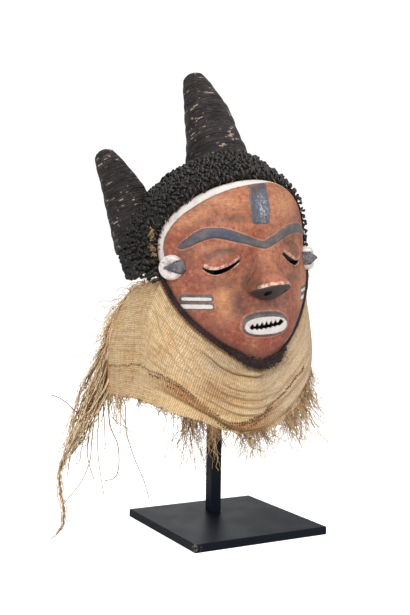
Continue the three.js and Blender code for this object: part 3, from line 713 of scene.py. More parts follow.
colour = wood.coats(
    (148, 80, 56),
    ((188, 118, 84), cloud, 0.35, 0.66),
    ((146, 66, 50), partly("red", cloud, 0.2, 0.6, 0.5, 1.0)),
    ((128, 68, 52), patch, 0.5, 0.74, 0, 0.8),
    ((202, 136, 100), streak, 0.56, 0.76, 0, 0.6),
    ((108, 56, 44), mottle, 0.5, 0.62, 0, 0.6),
    ((214, 148, 112), mottle, 0.36, 0.46, 0.38, 0),
    ((104, 60, 48), grain, 0.54, 0.66, 0, 0.35),
    # Rubbed wear, and the painted highlight on the far cheek.
    ((216, 156, 108), partly("worn", both, 0.75, 1.2, 0.15, 1.0)),
    # Painted shade darkens the red-brown.
    ((88, 62, 56), partly("soot", patch, 0.2, 0.6, 0.5, 1.0)),
    ((88, 52, 42), speck, 0.64, 0.74, 0, 0.6),
    # Painted highlights: sparse pale glints over the face.
    ((226, 192, 168), wood.noise(900, 3.0, 0.6), 0.69, 0.74, 0, 0.35),
    ((214, 154, 130), outline_share),
    # Pale lid edges, and the painted highlight along the nose's rim.
    ((236, 196, 176), pale_and_highlight_share),
    ((104, 88, 84), wood.times(edge("shadow"), 0.6)),
    (slate, edge("grey")),
    (white, chalk_share),
    # Painted shade: near-black in the cuts, nostrils and hollow.
    (wood.coats((8, 6, 5), ((24, 16, 13), cloud)), cut_shade_share),
)
rough = wood.times(chalk_share, 0.28, wood.ease(patch, 0.3, 0.75, 0.38, 0.6))
rough = wood.times(cut_shade_share, 0.3, wood.times(wood.told("mark"), -0.14, rough))
height = wood.times(speck, 0.4, wood.worked("ADD", patch, wood.times(chalk_share, 0.5)))
wood.lay(colour, wood.times(mottle, 0.7, height), 0.001, 0.9, rough)
wood.dress(face)
face.data.shade_smooth()
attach(face, "root")
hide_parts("face")


# Ears: thick rings carved from the same wood, open towards the face, each with a wedge standing in its mouth.
# The rings are chalked white and the wedges painted dark grey.
EAR_ACROSS = 104.0
EAR_UP = 34.0
EAR_OPENING = math.radians(34)
EAR_FORWARD = 0.78
EAR_ASIDE = 0.626
RING_PROFILE = [
    (3.4, -9), (3.2, 4.5), (4.4, 6.6), (7.4, 9.6), (10.6, 11.6),
    (13.4, 10.9), (15.2, 7.6), (15.8, 2), (15.8, -9),
]
WEDGE_MIDDLE = 7
WEDGE_OUTLINE = [
    (-7, -0.4), (-2, -2.6), (5, -5.2), (12, -8.2), (16, -8.6), (18.6, -5.6), (19.4, 0),
    (18.6, 5.6), (16, 8.6), (12, 8.2), (5, 5.2), (-2, 2.6), (-7, 0.4),
]
WEDGE_LEVELS = [(1.0, -9), (1.0, 3), (0.97, 7), (0.86, 11.4), (0.64, 15), (0.34, 17.6), (0.14, 18.4)]
EDGE_WORN = 0.9

painted = Finish("chalked_ear", 0.75, specular=0.3)
patch = painted.noise(120, 6.0, 0.7)
speck = painted.noise(420, 4.0, 0.7)
ragged = painted.times(painted.noise(260), 3.0, -1.5)
share = painted.ease(painted.worked("ADD", painted.told("grey"), ragged), -0.4, 0.4)
slate = painted.coats(
    (74, 74, 82),
    ((128, 122, 124), patch, 0.35, 0.65),
    ((196, 186, 184), speck, 0.56, 0.66, 0, 0.8),
)
colour = painted.coats(
    (236, 226, 220),
    ((202, 186, 178), patch, 0.45, 0.75),
    ((140, 118, 108), speck, 0.58, 0.74, 0, 0.7),
    (slate, share),
)
painted.lay(colour, painted.times(speck, 0.4, patch), 0.0008, 0.8)

# Both are made in the ear's own frame: over the cheek, up, and out from the side of the face.
rings = []
r, h = np.array(RING_PROFILE).T
for turn in np.linspace(EAR_OPENING, 2 * math.pi - EAR_OPENING, 44):
    lift = np.where(h > 0, 1 - 0.12 * math.cos(turn), 1)
    rings.append(np.stack([r * math.cos(turn), 1.03 * r * math.sin(turn), h * lift], 1))
faces = between_rings(len(rings), len(RING_PROFILE))
end = np.arange(len(RING_PROFILE))
faces += [end.tolist(), ((len(rings) - 1) * len(end) + end)[::-1].tolist()]
ring = (np.concatenate(rings), faces)
along, up = np.array(WEDGE_OUTLINE).T
slope = 0.2 * np.maximum(along - 4, 0)
out = along - WEDGE_MIDDLE
rings = [np.stack([WEDGE_MIDDLE + out * s, up * s, h - slope * (h > 0)], 1) for s, h in WEDGE_LEVELS]
wedge = skin_over(rings, rings[0].mean(0), rings[-1].mean(0) + [0, 0, 0.2])

for side, name in ((-1, "right"), (1, "left")):
    foot = np.array([side * EAR_ACROSS, float(smooth_face(np.array(EAR_ACROSS), np.array(EAR_UP))), EAR_UP])
    over_cheek = np.array([-side * EAR_ASIDE, EAR_FORWARD, 0])
    outward = np.array([side * EAR_FORWARD, EAR_ASIDE, 0])
    ring_piece, ear = (
        turned_out(new_piece(label + name, foot + part @ [over_cheek, [0, 0, 1], outward], faces))
        for label, (part, faces) in (("ear_ring_", ring), ("ear_", wedge))
    )
    cut_away(ear, ring_piece, "UNION")
    bevel = ear.modifiers.new("worn_edges", "BEVEL")
    bevel.width = EDGE_WORN
    bevel.segments = 3
    bevel.limit_method = "ANGLE"
    bevel.angle_limit = math.radians(35)
    after_modifiers(ear)
    spots = points_of(ear)
    along, up = (spots - foot) @ over_cheek, spots[:, 2] - foot[2]
    spread = np.interp(along, [-7, -2, 5, 12, 20], [1.6, 3.4, 6.0, 9.0, 9.4])
    mark_points(ear, grey=np.minimum(spread - np.abs(up), along + 8))
    move_points(ear, on_stand(spots))
    painted.dress(ear)
    ear.data.shade_smooth()
    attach(ear, "root")


# Hood: a cap of dark raffia net, closed round the back of the head and cut away below the nape.
# It lies just behind the rim of the face and is open inside for the wearer's head.
HOOD_CENTRE_FORWARD = 22
HOOD_HALF_LENGTH = 140
HOOD_BACK_LENGTH = 160
HOOD_BACK_FULL = 0.72
HOOD_BEHIND_RIM = 4
HOOD_PROUD = 8
HOOD_THICK = 12
HOOD_GAP = 0.3
HOOD_FLARE = 0.09
HOOD_LEAN = 0.085
HOOD_LEAN_TO = math.radians(50)
HOOD_HEM_UP = 30
HEM_TILT = math.radians(3)
NAPE_FROM = (100, -50, 30)
NAPE_FOLD = (-0.67, 0.74, 0)
NAPE_TILT = math.radians(15)
MOUND_AT = (72, -18)
MOUND_RISE = 26
MOUND_SPREAD = 58
HOOD_SPOKES = 200
NET_UNDER_KNOTS = 3.2
FROM_FRONT = [1, -1, 1]


def hood_front(turn):
    """Where the hood begins in one direction round the head: its rim's radius and its angle."""
    rise = np.where(np.sin(turn) >= 0, FOREHEAD_RISE, 2 * FOREHEAD_RISE)
    edge = 1 / np.hypot(np.cos(turn) / FACE_HALF_WIDTH, np.sin(turn) / rise)
    rim = smooth_face(edge * np.cos(turn), WIDEST_UP + edge * np.maximum(0, np.sin(turn))) - HOOD_BEHIND_RIM
    return edge, np.arccos(np.clip((rim - HOOD_CENTRE_FORWARD) / HOOD_HALF_LENGTH, -1, 1))


def hood_point(turn, back, inset=0.0):
    """A point of the hood's skin in one direction round the head, from its front edge (0) to its pole (1)."""
    edge, start = hood_front(turn)
    widest = (edge + HOOD_PROUD) / np.sin(start)
    angle = mix(start, np.pi, back)
    reach = np.where(np.cos(angle) < 0, HOOD_BACK_LENGTH, HOOD_HALF_LENGTH)
    forward = HOOD_CENTRE_FORWARD + reach * np.cos(angle)
    behind = smooth(back, 0, 0.55)
    flare = HOOD_FLARE * behind * bell(np.sin(turn) / 0.4)
    lean = 1 + HOOD_LEAN * behind * np.cos(turn - HOOD_LEAN_TO) + flare
    thick = inset * mix((HOOD_PROUD - 2 * HOOD_GAP) / HOOD_THICK, 1, smooth(back, 0, 0.2))
    round_back = np.clip(np.sin(angle), 0, 1)
    outer = widest * np.where(np.cos(angle) < 0, round_back ** HOOD_BACK_FULL, round_back) * lean
    from_mound = np.hypot(outer * np.cos(turn) - MOUND_AT[0], forward - MOUND_AT[1]) / MOUND_SPREAD
    radius = outer + MOUND_RISE * np.maximum(0, np.sin(turn)) * bell(from_mound) - thick
    pole = inset * smooth(back, 0.6, 1)
    return np.stack([radius * np.cos(turn), forward + pole, WIDEST_UP + radius * np.sin(turn)], -1)


def hood_bulk(name, inset, reach):
    """A closed piece of the hood's bulk, with its front pushed forward by a reach."""
    turn = np.arange(HOOD_SPOKES) / HOOD_SPOKES * 2 * np.pi
    skins = [hood_point(turn, np.full(HOOD_SPOKES, back), inset) for back in np.linspace(0, 0.985, 70)]
    if reach:
        skins.insert(0, skins[0] + [0, reach, 0])
    last = hood_point(np.array([0.0]), np.array([1.0]), inset)[0] * [0, 1, 1]
    return turned_out(new_piece(name, *skin_over(skins, [0, 40 + reach, WIDEST_UP], last)))


def box_below(name, turn_about, angle, moved):
    """A big box whose top lies level with z = 0, tipped about an axis and moved."""
    corners = np.array([(x, y, z) for x in (-450, 450) for y in (-450, 450) for z in (-400, 0)], float)
    tip = Matrix.Rotation(angle, 3, Vector(turn_about))
    # The axes here are across, back and up, because the hood's hem is tipped in that frame.
    corners = np.array([tip @ Vector(c) for c in corners]) + np.array(moved)
    faces = [(0, 1, 3, 2), (4, 6, 7, 5), (0, 4, 5, 1), (2, 3, 7, 6), (0, 2, 6, 4), (1, 5, 7, 3)]
    return turned_out(new_piece(name, corners * FROM_FRONT, faces))


hood = hood_bulk("hood_net", NET_UNDER_KNOTS, 0)
cut_away(hood, hood_bulk("head_room", HOOD_THICK, 60))
below = box_below("below_hem", (1, 0, 0), HEM_TILT, (0, 0, HOOD_HEM_UP))
cut_away(hood, cut_away(below, box_below("below_nape", NAPE_FOLD, NAPE_TILT, NAPE_FROM), "INTERSECT"))
move_points(hood, on_stand(points_of(hood)))

knot_black = Finish("black_raffia_knots", 0.42, specular=0.5)
fine = knot_black.noise(900)
colour = knot_black.coats(
    (10, 8, 8),
    ((42, 34, 30), knot_black.told("shade")),
    ((60, 42, 32), knot_black.noise(34, 4.0, 0.6), 0.55, 0.8, 0, 0.5),
    ((92, 78, 68), fine, 0.62, 0.8, 0, 0.35),
)
knot_black.lay(colour, fine, 0.0004, 0.6)

net_black = Finish("black_raffia_net", 0.8, sheen=0.1, specular=0.2)
meshes = {"Vector": net_black.spot, "Scale": 230}
meshes = net_black.node("ShaderNodeTexVoronoi", meshes, feature="DISTANCE_TO_EDGE")
fine = net_black.noise(500, 4.0)
colour = net_black.coats(
    (30, 23, 19),
    ((9, 8, 7), meshes, 0.05, 0.2),
    ((40, 30, 24), fine, 0.5, 0.75, 0, 0.5),
)
net_black.lay(colour, net_black.times(fine, 0.4, net_black.ease(meshes, 0.0, 0.2, 1, 0)), 0.001, 0.8)
net_black.dress(hood)
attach(hood, "root")
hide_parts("hood")


# Knots: about two thousand short loops of black raffia, tied close together over the net and combed back.
# They stand 3 to 5 mm proud, larger round the foot of the tall horn and ragged along the hood's hem.
KNOT_SPACING = 0.0059
KNOT_SEED = 7
KNOT_STEPS = 5
KNOT_KINDS = [
    ("knot_tight", 1.5, 1.55), ("knot_open", 0.9, 1.4), ("knot_fat", 1.9, 1.9), ("knot_thin", 1.2, 1.25),
]
STREWN = ((-0.35, -0.45, -0.75), (0.35, 0.35, 0.75))


class Recipe:
    """A Geometry Nodes tree with named inputs."""

    def __init__(self, name, **inputs):
        self.tree = bpy.data.node_groups.new(name, "GeometryNodeTree")
        for label, kind in {"Geometry": "Geometry", **inputs}.items():
            self.tree.interface.new_socket(label, in_out="INPUT", socket_type="NodeSocket" + kind)
        self.tree.interface.new_socket("Geometry", in_out="OUTPUT", socket_type="NodeSocketGeometry")
        self.given = self.tree.nodes.new("NodeGroupInput").outputs

    def node(self, kind, inputs, output=0, **settings):
        return new_node(self.tree, "GeometryNode" + kind, inputs, output, **settings)

    def told(self, name, kind="FLOAT"):
        return self.node("InputNamedAttribute", {"Name": name}, data_type=kind)

    def random(self, low, high, seed, kind="FLOAT"):
        first, output = (2, 1) if kind == "FLOAT" else (0, 0)
        inputs = {first: low, first + 1: high, "Seed": seed}
        return new_node(self.tree, "FunctionNodeRandomValue", inputs, output, data_type=kind)

    def ends_in(self, geometry):
        """Makes what the recipe has placed real, and gives it its finish."""
        real = self.node("RealizeInstances", {"Geometry": geometry})
        soft = self.node("SetShadeSmooth", {"Geometry": real})
        dressed = self.node("SetMaterial", {"Geometry": soft, "Material": self.given["Finish"]})
        self.tree.links.new(dressed, self.tree.nodes.new("NodeGroupOutput").inputs[0])

    def work(self, piece, values):
        """Makes the piece a plain mesh, as the recipe makes it from these values."""
        tool = piece.modifiers.new(self.tree.name, "NODES")
        tool.node_group = self.tree
        for item in self.tree.interface.items_tree:
            if item.in_out == "INPUT" and item.name in values:
                tool[item.identifier] = values[item.name]
        after_modifiers(piece)


def knot_rings(curl, thick):
    """One knot: a short fat loop that rises from the net, leans along x and curls down again."""
    rings = []
    for i in range(KNOT_STEPS):
        t = i / (KNOT_STEPS - 1)
        swing = mix(-0.2, curl, t)
        lift = 0.4 + 2.9 * math.sin(math.pi * (0.12 + 0.62 * t))
        middle = np.array([3.1 * math.sin(swing) + 2.2 * t, 0.5 * math.sin(6 * t + curl), lift])
        along = np.array([1.0, 0, 1.6 - 3.2 * t])
        along /= np.linalg.norm(along)
        size = thick * (0.72 + 0.5 * math.sin(math.pi * t))
        turn = np.arange(5) / 5 * 2 * np.pi + 0.5 * i
        out = np.outer(np.sin(turn), [-along[2], 0, along[0]])
        rings.append(middle + size * (np.outer(np.cos(turn), [0, 1, 0]) + out))
    return rings


knot_kinds = bpy.data.collections.new("knot_kinds")
for name, curl, thick in KNOT_KINDS:
    rings = knot_rings(curl, thick)
    points, faces = skin_over(rings, rings[0].mean(0) - [0, 0, 0.8], rings[-1].mean(0) + [0.8, 0, -0.5])
    knot = turned_out(new_piece(name, points / 1000, faces))
    knot.data.shade_smooth()
    bpy.context.scene.collection.objects.unlink(knot)
    knot_kinds.objects.link(knot)

knots_over_net = Recipe("knots_over_net", Knots="Collection", Spacing="Float", Seed="Int", Finish="Material")
given = knots_over_net.given
scattered = knots_over_net.node("DistributePointsOnFaces", {
    "Mesh": given["Geometry"], "Seed": given["Seed"], "Distance Min": given["Spacing"],
    "Density Max": 90000.0, "Density Factor": knots_over_net.told("knotted"),
}, distribute_method="POISSON")
upright = new_node(knots_over_net.tree, "FunctionNodeAxesToRotation", {
    "Primary Axis": scattered.node.outputs["Normal"],
    "Secondary Axis": knots_over_net.told("combed", "FLOAT_VECTOR"),
}, primary_axis="Z", secondary_axis="X")
strewn = {"Euler": knots_over_net.random(*STREWN, 3, "FLOAT_VECTOR")}
strewn = new_node(knots_over_net.tree, "FunctionNodeEulerToRotation", strewn)
turned = {"Rotation": upright, "Rotate By": strewn}
turned = new_node(knots_over_net.tree, "FunctionNodeRotateRotation", turned, rotation_space="LOCAL")
kinds = knots_over_net.node("CollectionInfo", {
    "Collection": given["Knots"], "Separate Children": True, "Reset Children": True,
})
size = {0: knots_over_net.told("knot_size"), 1: knots_over_net.random(0.78, 1.22, 5)}
size = new_node(knots_over_net.tree, "ShaderNodeMath", size, operation="MULTIPLY")
tied = knots_over_net.node("InstanceOnPoints", {
    "Points": scattered, "Instance": kinds, "Pick Instance": True, "Rotation": turned, "Scale": size,
})
knots_over_net.ends_in(knots_over_net.node("StoreNamedAttribute", {
    "Geometry": tied, "Name": "shade", "Value": knots_over_net.random(0.0, 1.0, 9),
}, data_type="FLOAT", domain="INSTANCE"))


# Horns: each a stuffed cone wound from foot to tip with thin dark cord, worn to tan on its high places.
# The left one stands upright over the forehead, and the right one, shorter, leans out over the temple.
HORNS = {
    "horn_right": {
        "foot": (-87, -68, 92), "tip": (-117, -104, 206), "tip_radius": 9, "swell": 27, "knots_up": (7, 7),
    },
    "horn_left": {
        "foot": (36, -38, 180), "tip": (37, -100, 319), "tip_radius": 9.5, "swell": 30, "knots_up": (3, 15),
    },
}
HORN_SWELL_LENGTH = 110
HORN_SWELL_POWER = 0.6
HORN_UNDER_NET = -0.2
CORE_SUNK = 1.3
WINDING_PITCH = 2.3
WINDING_RADIUS = 1.25
WINDING_STEPS = 44
WINDING_FROM_TIP = 2

cords_along_lines = Recipe("cords_along_lines", Sides="Int", Finish="Material")
given = cords_along_lines.given
section = cords_along_lines.node("CurvePrimitiveCircle", {"Resolution": given["Sides"], "Radius": 1.0})
cords_along_lines.ends_in(cords_along_lines.node("CurveToMesh", {
    "Curve": cords_along_lines.node("MeshToCurve", {"Mesh": given["Geometry"]}),
    "Profile Curve": section, "Scale": cords_along_lines.told("thick"), "Fill Caps": True,
}))


def run_of(line):
    """How far each point of a line lies along it."""
    return np.concatenate([[0], np.cumsum(np.linalg.norm(np.diff(line, axis=0), axis=1))])


def cords(name, lines, sides, finish):
    """One piece of round cords: each line is its points and radii in millimetres, and a shade from 0 to 1."""
    edges = []
    start = 0
    for line, _, _ in lines:
        edges += [(i, i + 1) for i in range(start, start + len(line) - 1)]
        start += len(line)
    piece = new_piece(name, np.concatenate([on_stand(line) for line, _, _ in lines]), [], edges)
    mark_points(
        piece, thick=np.concatenate([np.broadcast_to(r, len(line)) for line, r, _ in lines]) / 1000,
        shade=np.concatenate([np.full(len(line), shade) for line, _, shade in lines]),
        along=np.concatenate([run_of(line) for line, _, _ in lines]),
    )
    cords_along_lines.work(piece, {"Sides": sides, "Finish": finish.material})
    return turned_out(piece)


cord_black = Finish("wound_black_cord", 0.66, sheen=0.08, specular=0.3)
along = cord_black.told("along")
patch = cord_black.noise(45, 5.0, 0.6)
grain = cord_black.noise(1100)
cord_black.spot = cord_black.node("ShaderNodeCombineXYZ", {0: along})
strand = cord_black.noise(0.055, 2.0)
cord_black.spot = cord_black.node("ShaderNodeCombineXYZ", {1: along})
bare = cord_black.noise(0.05, 3.0)
flecks = cord_black.times(cord_black.ease(bare, 0.57, 0.62), cord_black.ease(patch, 0.44, 0.58))
colour = cord_black.coats(
    (20, 16, 16),
    ((48, 42, 43), patch, 0.3, 0.7),
    ((80, 69, 66), strand, 0.45, 0.68, 0, 0.6),
    (cord_black.coats((140, 116, 96), ((206, 186, 166), strand)), flecks),
)
cord_black.lay(colour, grain, 0.0004, 0.8)


def around_line(count, side, front):
    """Directions round a line, evenly spaced from one side towards its front."""
    turn = np.arange(count) / count * 2 * np.pi
    return np.outer(np.cos(turn), side) + np.outer(np.sin(turn), front)


def horn_line(horn):
    """The horn's middle line, up to its tip, with its radius, its way to the tip and its own directions."""
    base, tip = np.array(horn["foot"], float), np.array(horn["tip"], float)
    route = np.array([base + HORN_UNDER_NET * (tip - base), base, (base + tip) / 2 + [2, 5, 0], tip])
    t = np.linspace(HORN_UNDER_NET, 1, 241)
    middle = np.stack([through(t, [HORN_UNDER_NET, 0, 0.5, 1], route[:, i]) for i in range(3)], 1)
    from_tip = run_of(middle[::-1])[::-1]
    cone = horn["tip_radius"] + horn["swell"] * (from_tip / HORN_SWELL_LENGTH) ** HORN_SWELL_POWER
    dome = np.sqrt(np.clip(1 - (1 - np.clip(from_tip / horn["tip_radius"], 0, 1)) ** 2, 0, 1))
    axis = (middle[-1] - middle[0]) / np.linalg.norm(middle[-1] - middle[0])
    side = np.cross(axis, [0, 1, 0])
    side /= np.linalg.norm(side)
    return middle, cone * dome, from_tip, side, np.cross(side, axis), axis


for name, horn in HORNS.items():
    middle, radius, from_tip, side, front, axis = horn_line(horn)
    radius = radius * (1 + 0.012 * np.sin(from_tip / 3.6) + 0.018 * np.sin(from_tip / 11 + 1))
    around = around_line(48, side, front)
    skins = [m + max(r - CORE_SUNK, 0.4) * around for m, r in zip(middle[::4], radius[::4])]
    points, faces = skin_over(skins, middle[0], middle[-1])
    core = turned_out(new_piece(name + "_core", on_stand(points), faces))
    cord_black.dress(core)
    wound_length = from_tip[0] - WINDING_FROM_TIP
    turns_made = wound_length / WINDING_PITCH
    share = np.linspace(0, 1, int(turns_made * WINDING_STEPS))
    down = WINDING_FROM_TIP + share * wound_length
    at = np.stack([np.interp(down, from_tip[::-1], middle[::-1, i]) for i in range(3)], 1)
    out = np.interp(down, from_tip[::-1], radius[::-1]) - WINDING_RADIUS * 0.7
    winding = share * turns_made * 2 * np.pi
    line = at + out[:, None] * (np.outer(np.cos(winding), side) + np.outer(np.sin(winding), front))
    line += np.outer(0.35 * np.sin(winding / 7.3) + 0.25 * np.sin(winding * 1.37), axis)
    thick = WINDING_RADIUS * (1 + 0.08 * np.sin(winding * 0.83))
    wound = cords(name + "_winding", [(line, thick, 0.5)], 6, cord_black)
    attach(core, "root")
    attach(wound, "root")
    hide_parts(name)


def above_hood(points):
    """How far outside the hood's skin a place lies."""
    across, up = points[:, 0], points[:, 2] - WIDEST_UP
    turn = np.arctan2(up, across) % (2 * np.pi)
    start = hood_front(turn)[1]
    forward = points[:, 1] - HOOD_CENTRE_FORWARD
    angle = np.arccos(np.clip(forward / np.where(forward < 0, HOOD_BACK_LENGTH, HOOD_HALF_LENGTH), -1, 1))
    skin = hood_point(turn, np.clip((angle - start) / (np.pi - start), 0, 1))
    return np.hypot(across, up) - np.hypot(skin[:, 0], skin[:, 2] - WIDEST_UP)


# The knots stand on the net's outer side and climb a little way up the foot of each horn.
turns = np.linspace(0, 2 * np.pi, 181)[:-1]
sunk = NET_UNDER_KNOTS - 1.4 + 3.5 * bell((turns - 2.3) / 0.5) + 1.6 * bell((turns - 0.35) / 0.5)
skins = [hood_point(turns, np.full(len(turns), back), sunk) for back in np.linspace(0.004, 0.99, 72)]
lip = skins[0] + np.stack([-5 * np.cos(turns), np.full(len(turns), 4.5), -5 * np.sin(turns)], 1)
skins = np.array([lip, *skins])
spots = skins.reshape(-1, 3)
nape = np.array(Matrix.Rotation(NAPE_TILT, 3, Vector(NAPE_FOLD)) @ Vector((0, 0, 1)))
hem = HOOD_HEM_UP - spots[:, 1] * math.sin(HEM_TILT)
above_hem = np.maximum(spots[:, 2] - hem, (spots * FROM_FRONT - NAPE_FROM) @ nape)
faces = between_rings(*skins.shape[:2])
faces = [(a, d, c, b) for a, b, c, d in faces if min(above_hem[a], above_hem[d]) > -6]
around_horn = np.hypot(*(spots[:, :2] - HORNS["horn_left"]["foot"][:2]).T)
sizes = 1.2 + 0.3 * smooth(-around_horn, -62, -40) * (spots[:, 2] > 120) + 0.12 * smooth(-above_hem, -26, -4)
sizes += 0.3 * smooth(-above_hem, -30, -4) * (spots[:, 0] < -60)
sizes -= 0.16 * smooth(spots[:, 0], 70, 100)
combed = np.roll(skins, -1, 0) - skins
combed[-1] = 0
patches = [(spots, faces, combed.reshape(-1, 3), sizes)]
for horn in HORNS.values():
    middle, radius, _, side, front, axis = horn_line(horn)
    around = around_line(60, side, front)
    ends = [(-16, 0.3), (-15, 0.6), (-11, 0.88), (-5, 0.98)]
    rings = [middle[0] + axis * down + radius[0] * share * around for down, share in ends]
    rings += [m + r * around for m, r in zip(middle[:160:3], radius[:160:3])]
    points, faces = capped(rings)
    outside = above_hood(points)
    facing = (points - middle[40]) @ np.array([0.6, 0.8, 0])
    over = outside - mix(*horn["knots_up"], smooth(facing, -14, 16))
    faces = [f[::-1] for f in faces if min(outside[f]) > -1 and max(over[f]) < 0]
    patches.append((points, faces, np.tile(-axis, (len(points), 1)), np.full(len(points), 1.5)))


def knotted(piece, combed, sizes, spacing, seed, finish):
    """Puts knots in the place of the piece's faces."""
    mark_points(piece, combed=combed, knotted=np.ones(len(sizes)), knot_size=sizes)
    values = {"Knots": knot_kinds, "Spacing": spacing, "Seed": seed, "Finish": finish.material}
    knots_over_net.work(piece, values)
    return piece


points, faces = whole_of([(on_stand(spots), faces) for spots, faces, _, _ in patches])
combed = on_stand(np.concatenate([patch[2] for patch in patches])) - on_stand([(0, 0, 0)])
sizes = np.concatenate([patch[3] for patch in patches])
knots = knotted(new_piece("hood_knots", points, faces), combed, sizes, KNOT_SPACING, KNOT_SEED, knot_black)
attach(knots, "root")


# Lacing: short raffia stitches that sew the hood to the white rim, pink and tan where they are worn.
# A tuft of yellow fibre is knotted behind the right ear.
LACING_REACH = 0.006
HOOD_EDGE = 0.004
LACED_ROUND = np.radians(np.arange(-4, 186, 6.0))
TUFT_ROUND = math.radians(176)
TUFT_FIBRES = 70

stitch_tan = Finish("worn_raffia_stitches", 0.75, sheen=0.1, specular=0.2)
shade = stitch_tan.told("shade")
colour = stitch_tan.coats(
    (44, 30, 26),
    ((122, 88, 70), shade, 0, 0.5),
    ((206, 172, 120), shade, 0.5, 1),
    ((96, 66, 46), stitch_tan.noise(700), 0.5, 0.7, 0, 0.5),
)
stitch_tan.lay(colour, stitch_tan.noise(1500), 0.0003, 0.7)

# One seeded source gives every random draw from here on: shares, normal swings and values between limits.
chance = np.random.default_rng(11)
luck, sway, between = chance.random, chance.normal, chance.uniform

lines = []
for turn in LACED_ROUND:
    turn += sway(0, 0.03)
    reach = 1 - LACING_REACH * luck() ** 2
    edge_x, edge_z = face_edge(np.array([turn + 0.01 * sway()]))
    inner = FACE_MIDDLE_UP + (edge_z - FACE_MIDDLE_UP) * reach
    rim = np.array([edge_x[0] * reach, smooth_face(edge_x * reach, inner)[0] - 0.2, inner[0]])
    net = hood_point(np.array([turn]), np.array([HOOD_EDGE]))[0]
    net = mix(rim, net, 0.5 + 0.25 * luck())
    middle = (rim + net) / 2 + (net - [0, 0, WIDEST_UP]) * 0.01 + [0, 1.4, 0]
    t = np.linspace(0, 1, 6)[:, None]
    line = (1 - t) ** 2 * rim + 2 * t * (1 - t) * middle + t ** 2 * net
    lines.append((line, 0.45 + 0.4 * luck(), luck() ** 3))
tuft_at = hood_point(np.array([TUFT_ROUND]), np.array([HOOD_EDGE]))[0]
t = np.linspace(0, 1, 8)[:, None]
for _ in range(TUFT_FIBRES):
    way = sway(0, 1, 3) * [3, 2.5, 3] + [-2, 3, -3]
    at = tuft_at + [0, 1, chance.choice([12, -9]) + 3 * sway()]
    line = at + way * t + np.sin(5 * t + luck() * 6) * sway(0, 1.3, 3)
    lines.append((line, 0.55 - 0.3 * t[:, 0], 0.5 + 0.5 * luck()))
lacing = cords("rim_lacing", lines, 5, stitch_tan)
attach(lacing, "root")


# Jaw cord: a flat braid of three dark strands, sewn along the jaw from ear to ear, with a tan cord beside it.
# Round the chin it is buried in a fuzzy roll of brown knots.
CORD_RADIUS = 5
BELOW_EARS = math.radians(15)
BRAID_STEP = 13.5
BRAID_HALF_WIDTH = 2.3
BRAID_OUTWARD = 3.7
BRAID_BACK = 4.6
BRAID_STRAND = 1.7
TAN_OUTWARD = 8.3
TAN_STRAND = 0.75
ROLL_ACROSS = [-48, -38, -25, -8, 8, 22, 33, 41]
ROLL_UP = [-75.0, -82, -92, -98, -98.5, -95, -87.0, -79]
ROLL_RADII = [2.6, 4.2, 6.0, 7.2, 7.6, 7.4, 5.2, 2.6]
ROLL_CORE = 0.72
CHIN_FIBRES = 420
ROLL_KNOT_SIZE = 0.62
ROLL_KNOT_SPACING = 0.0031


def jaw_place(t, outward, back):
    """A place along the jaw's edge, from the right ear (0) under the chin to the left ear (1)."""
    turn = mix(math.pi + BELOW_EARS, 2 * math.pi - BELOW_EARS, np.asarray(t, float))
    x, z = face_edge(turn)
    _, out_x, out_z = within_edge(x * 0.999, z)
    chin = 1 - np.clip(np.abs(x) / 12, 0, 1)
    way = np.stack([out_x * (1 - chin), mix(out_z, -1, chin)], -1)
    way /= np.linalg.norm(way, axis=-1, keepdims=True)
    return np.stack([x + way[..., 0] * outward, smooth_face(x, z) - back, z + way[..., 1] * outward], -1)


braid_brown = Finish("brown_braid", 0.7, sheen=0.12, specular=0.25)
colour = braid_brown.coats(
    (26, 17, 16),
    ((62, 40, 37), braid_brown.noise(60, 4.0, 0.6), 0.3, 0.7),
    ((150, 104, 72), braid_brown.told("shade"), 1.0, 2.0, 0, 0.85),
    ((120, 92, 86), braid_brown.noise(420, 4.0), 0.58, 0.75, 0, 0.5),
)
braid_brown.lay(colour, braid_brown.noise(1400), 0.0004, 0.9)

t = np.linspace(-0.035, 1.035, 620)
middle = jaw_place(t, BRAID_OUTWARD, BRAID_BACK)
across = middle - jaw_place(t, BRAID_OUTWARD - 1, BRAID_BACK)
across /= np.linalg.norm(across, axis=1, keepdims=True)
travelled = run_of(middle)


def beside(outward, forward):
    return middle + across * outward[:, None] + np.outer(forward, [0, 1, 0])


lines = []
for strand in range(3):
    phase = travelled / BRAID_STEP * 2 * np.pi + strand * 2 * np.pi / 3
    line = beside(BRAID_HALF_WIDTH * np.sin(phase), 1.1 * np.sin(2 * phase))
    lines.append((line, BRAID_STRAND, 0.1 + 0.15 * strand))
for turn in (0, math.pi):
    phase = travelled / 5 + turn
    line = beside(TAN_OUTWARD - BRAID_OUTWARD + 0.5 * np.cos(phase), 0.5 * np.sin(phase) - 1.6)
    lines.append((line, TAN_STRAND, 2.0))
braid = cords("jaw_braid", lines, 6, braid_brown)
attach(braid, "root")
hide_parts("jaw_cord")

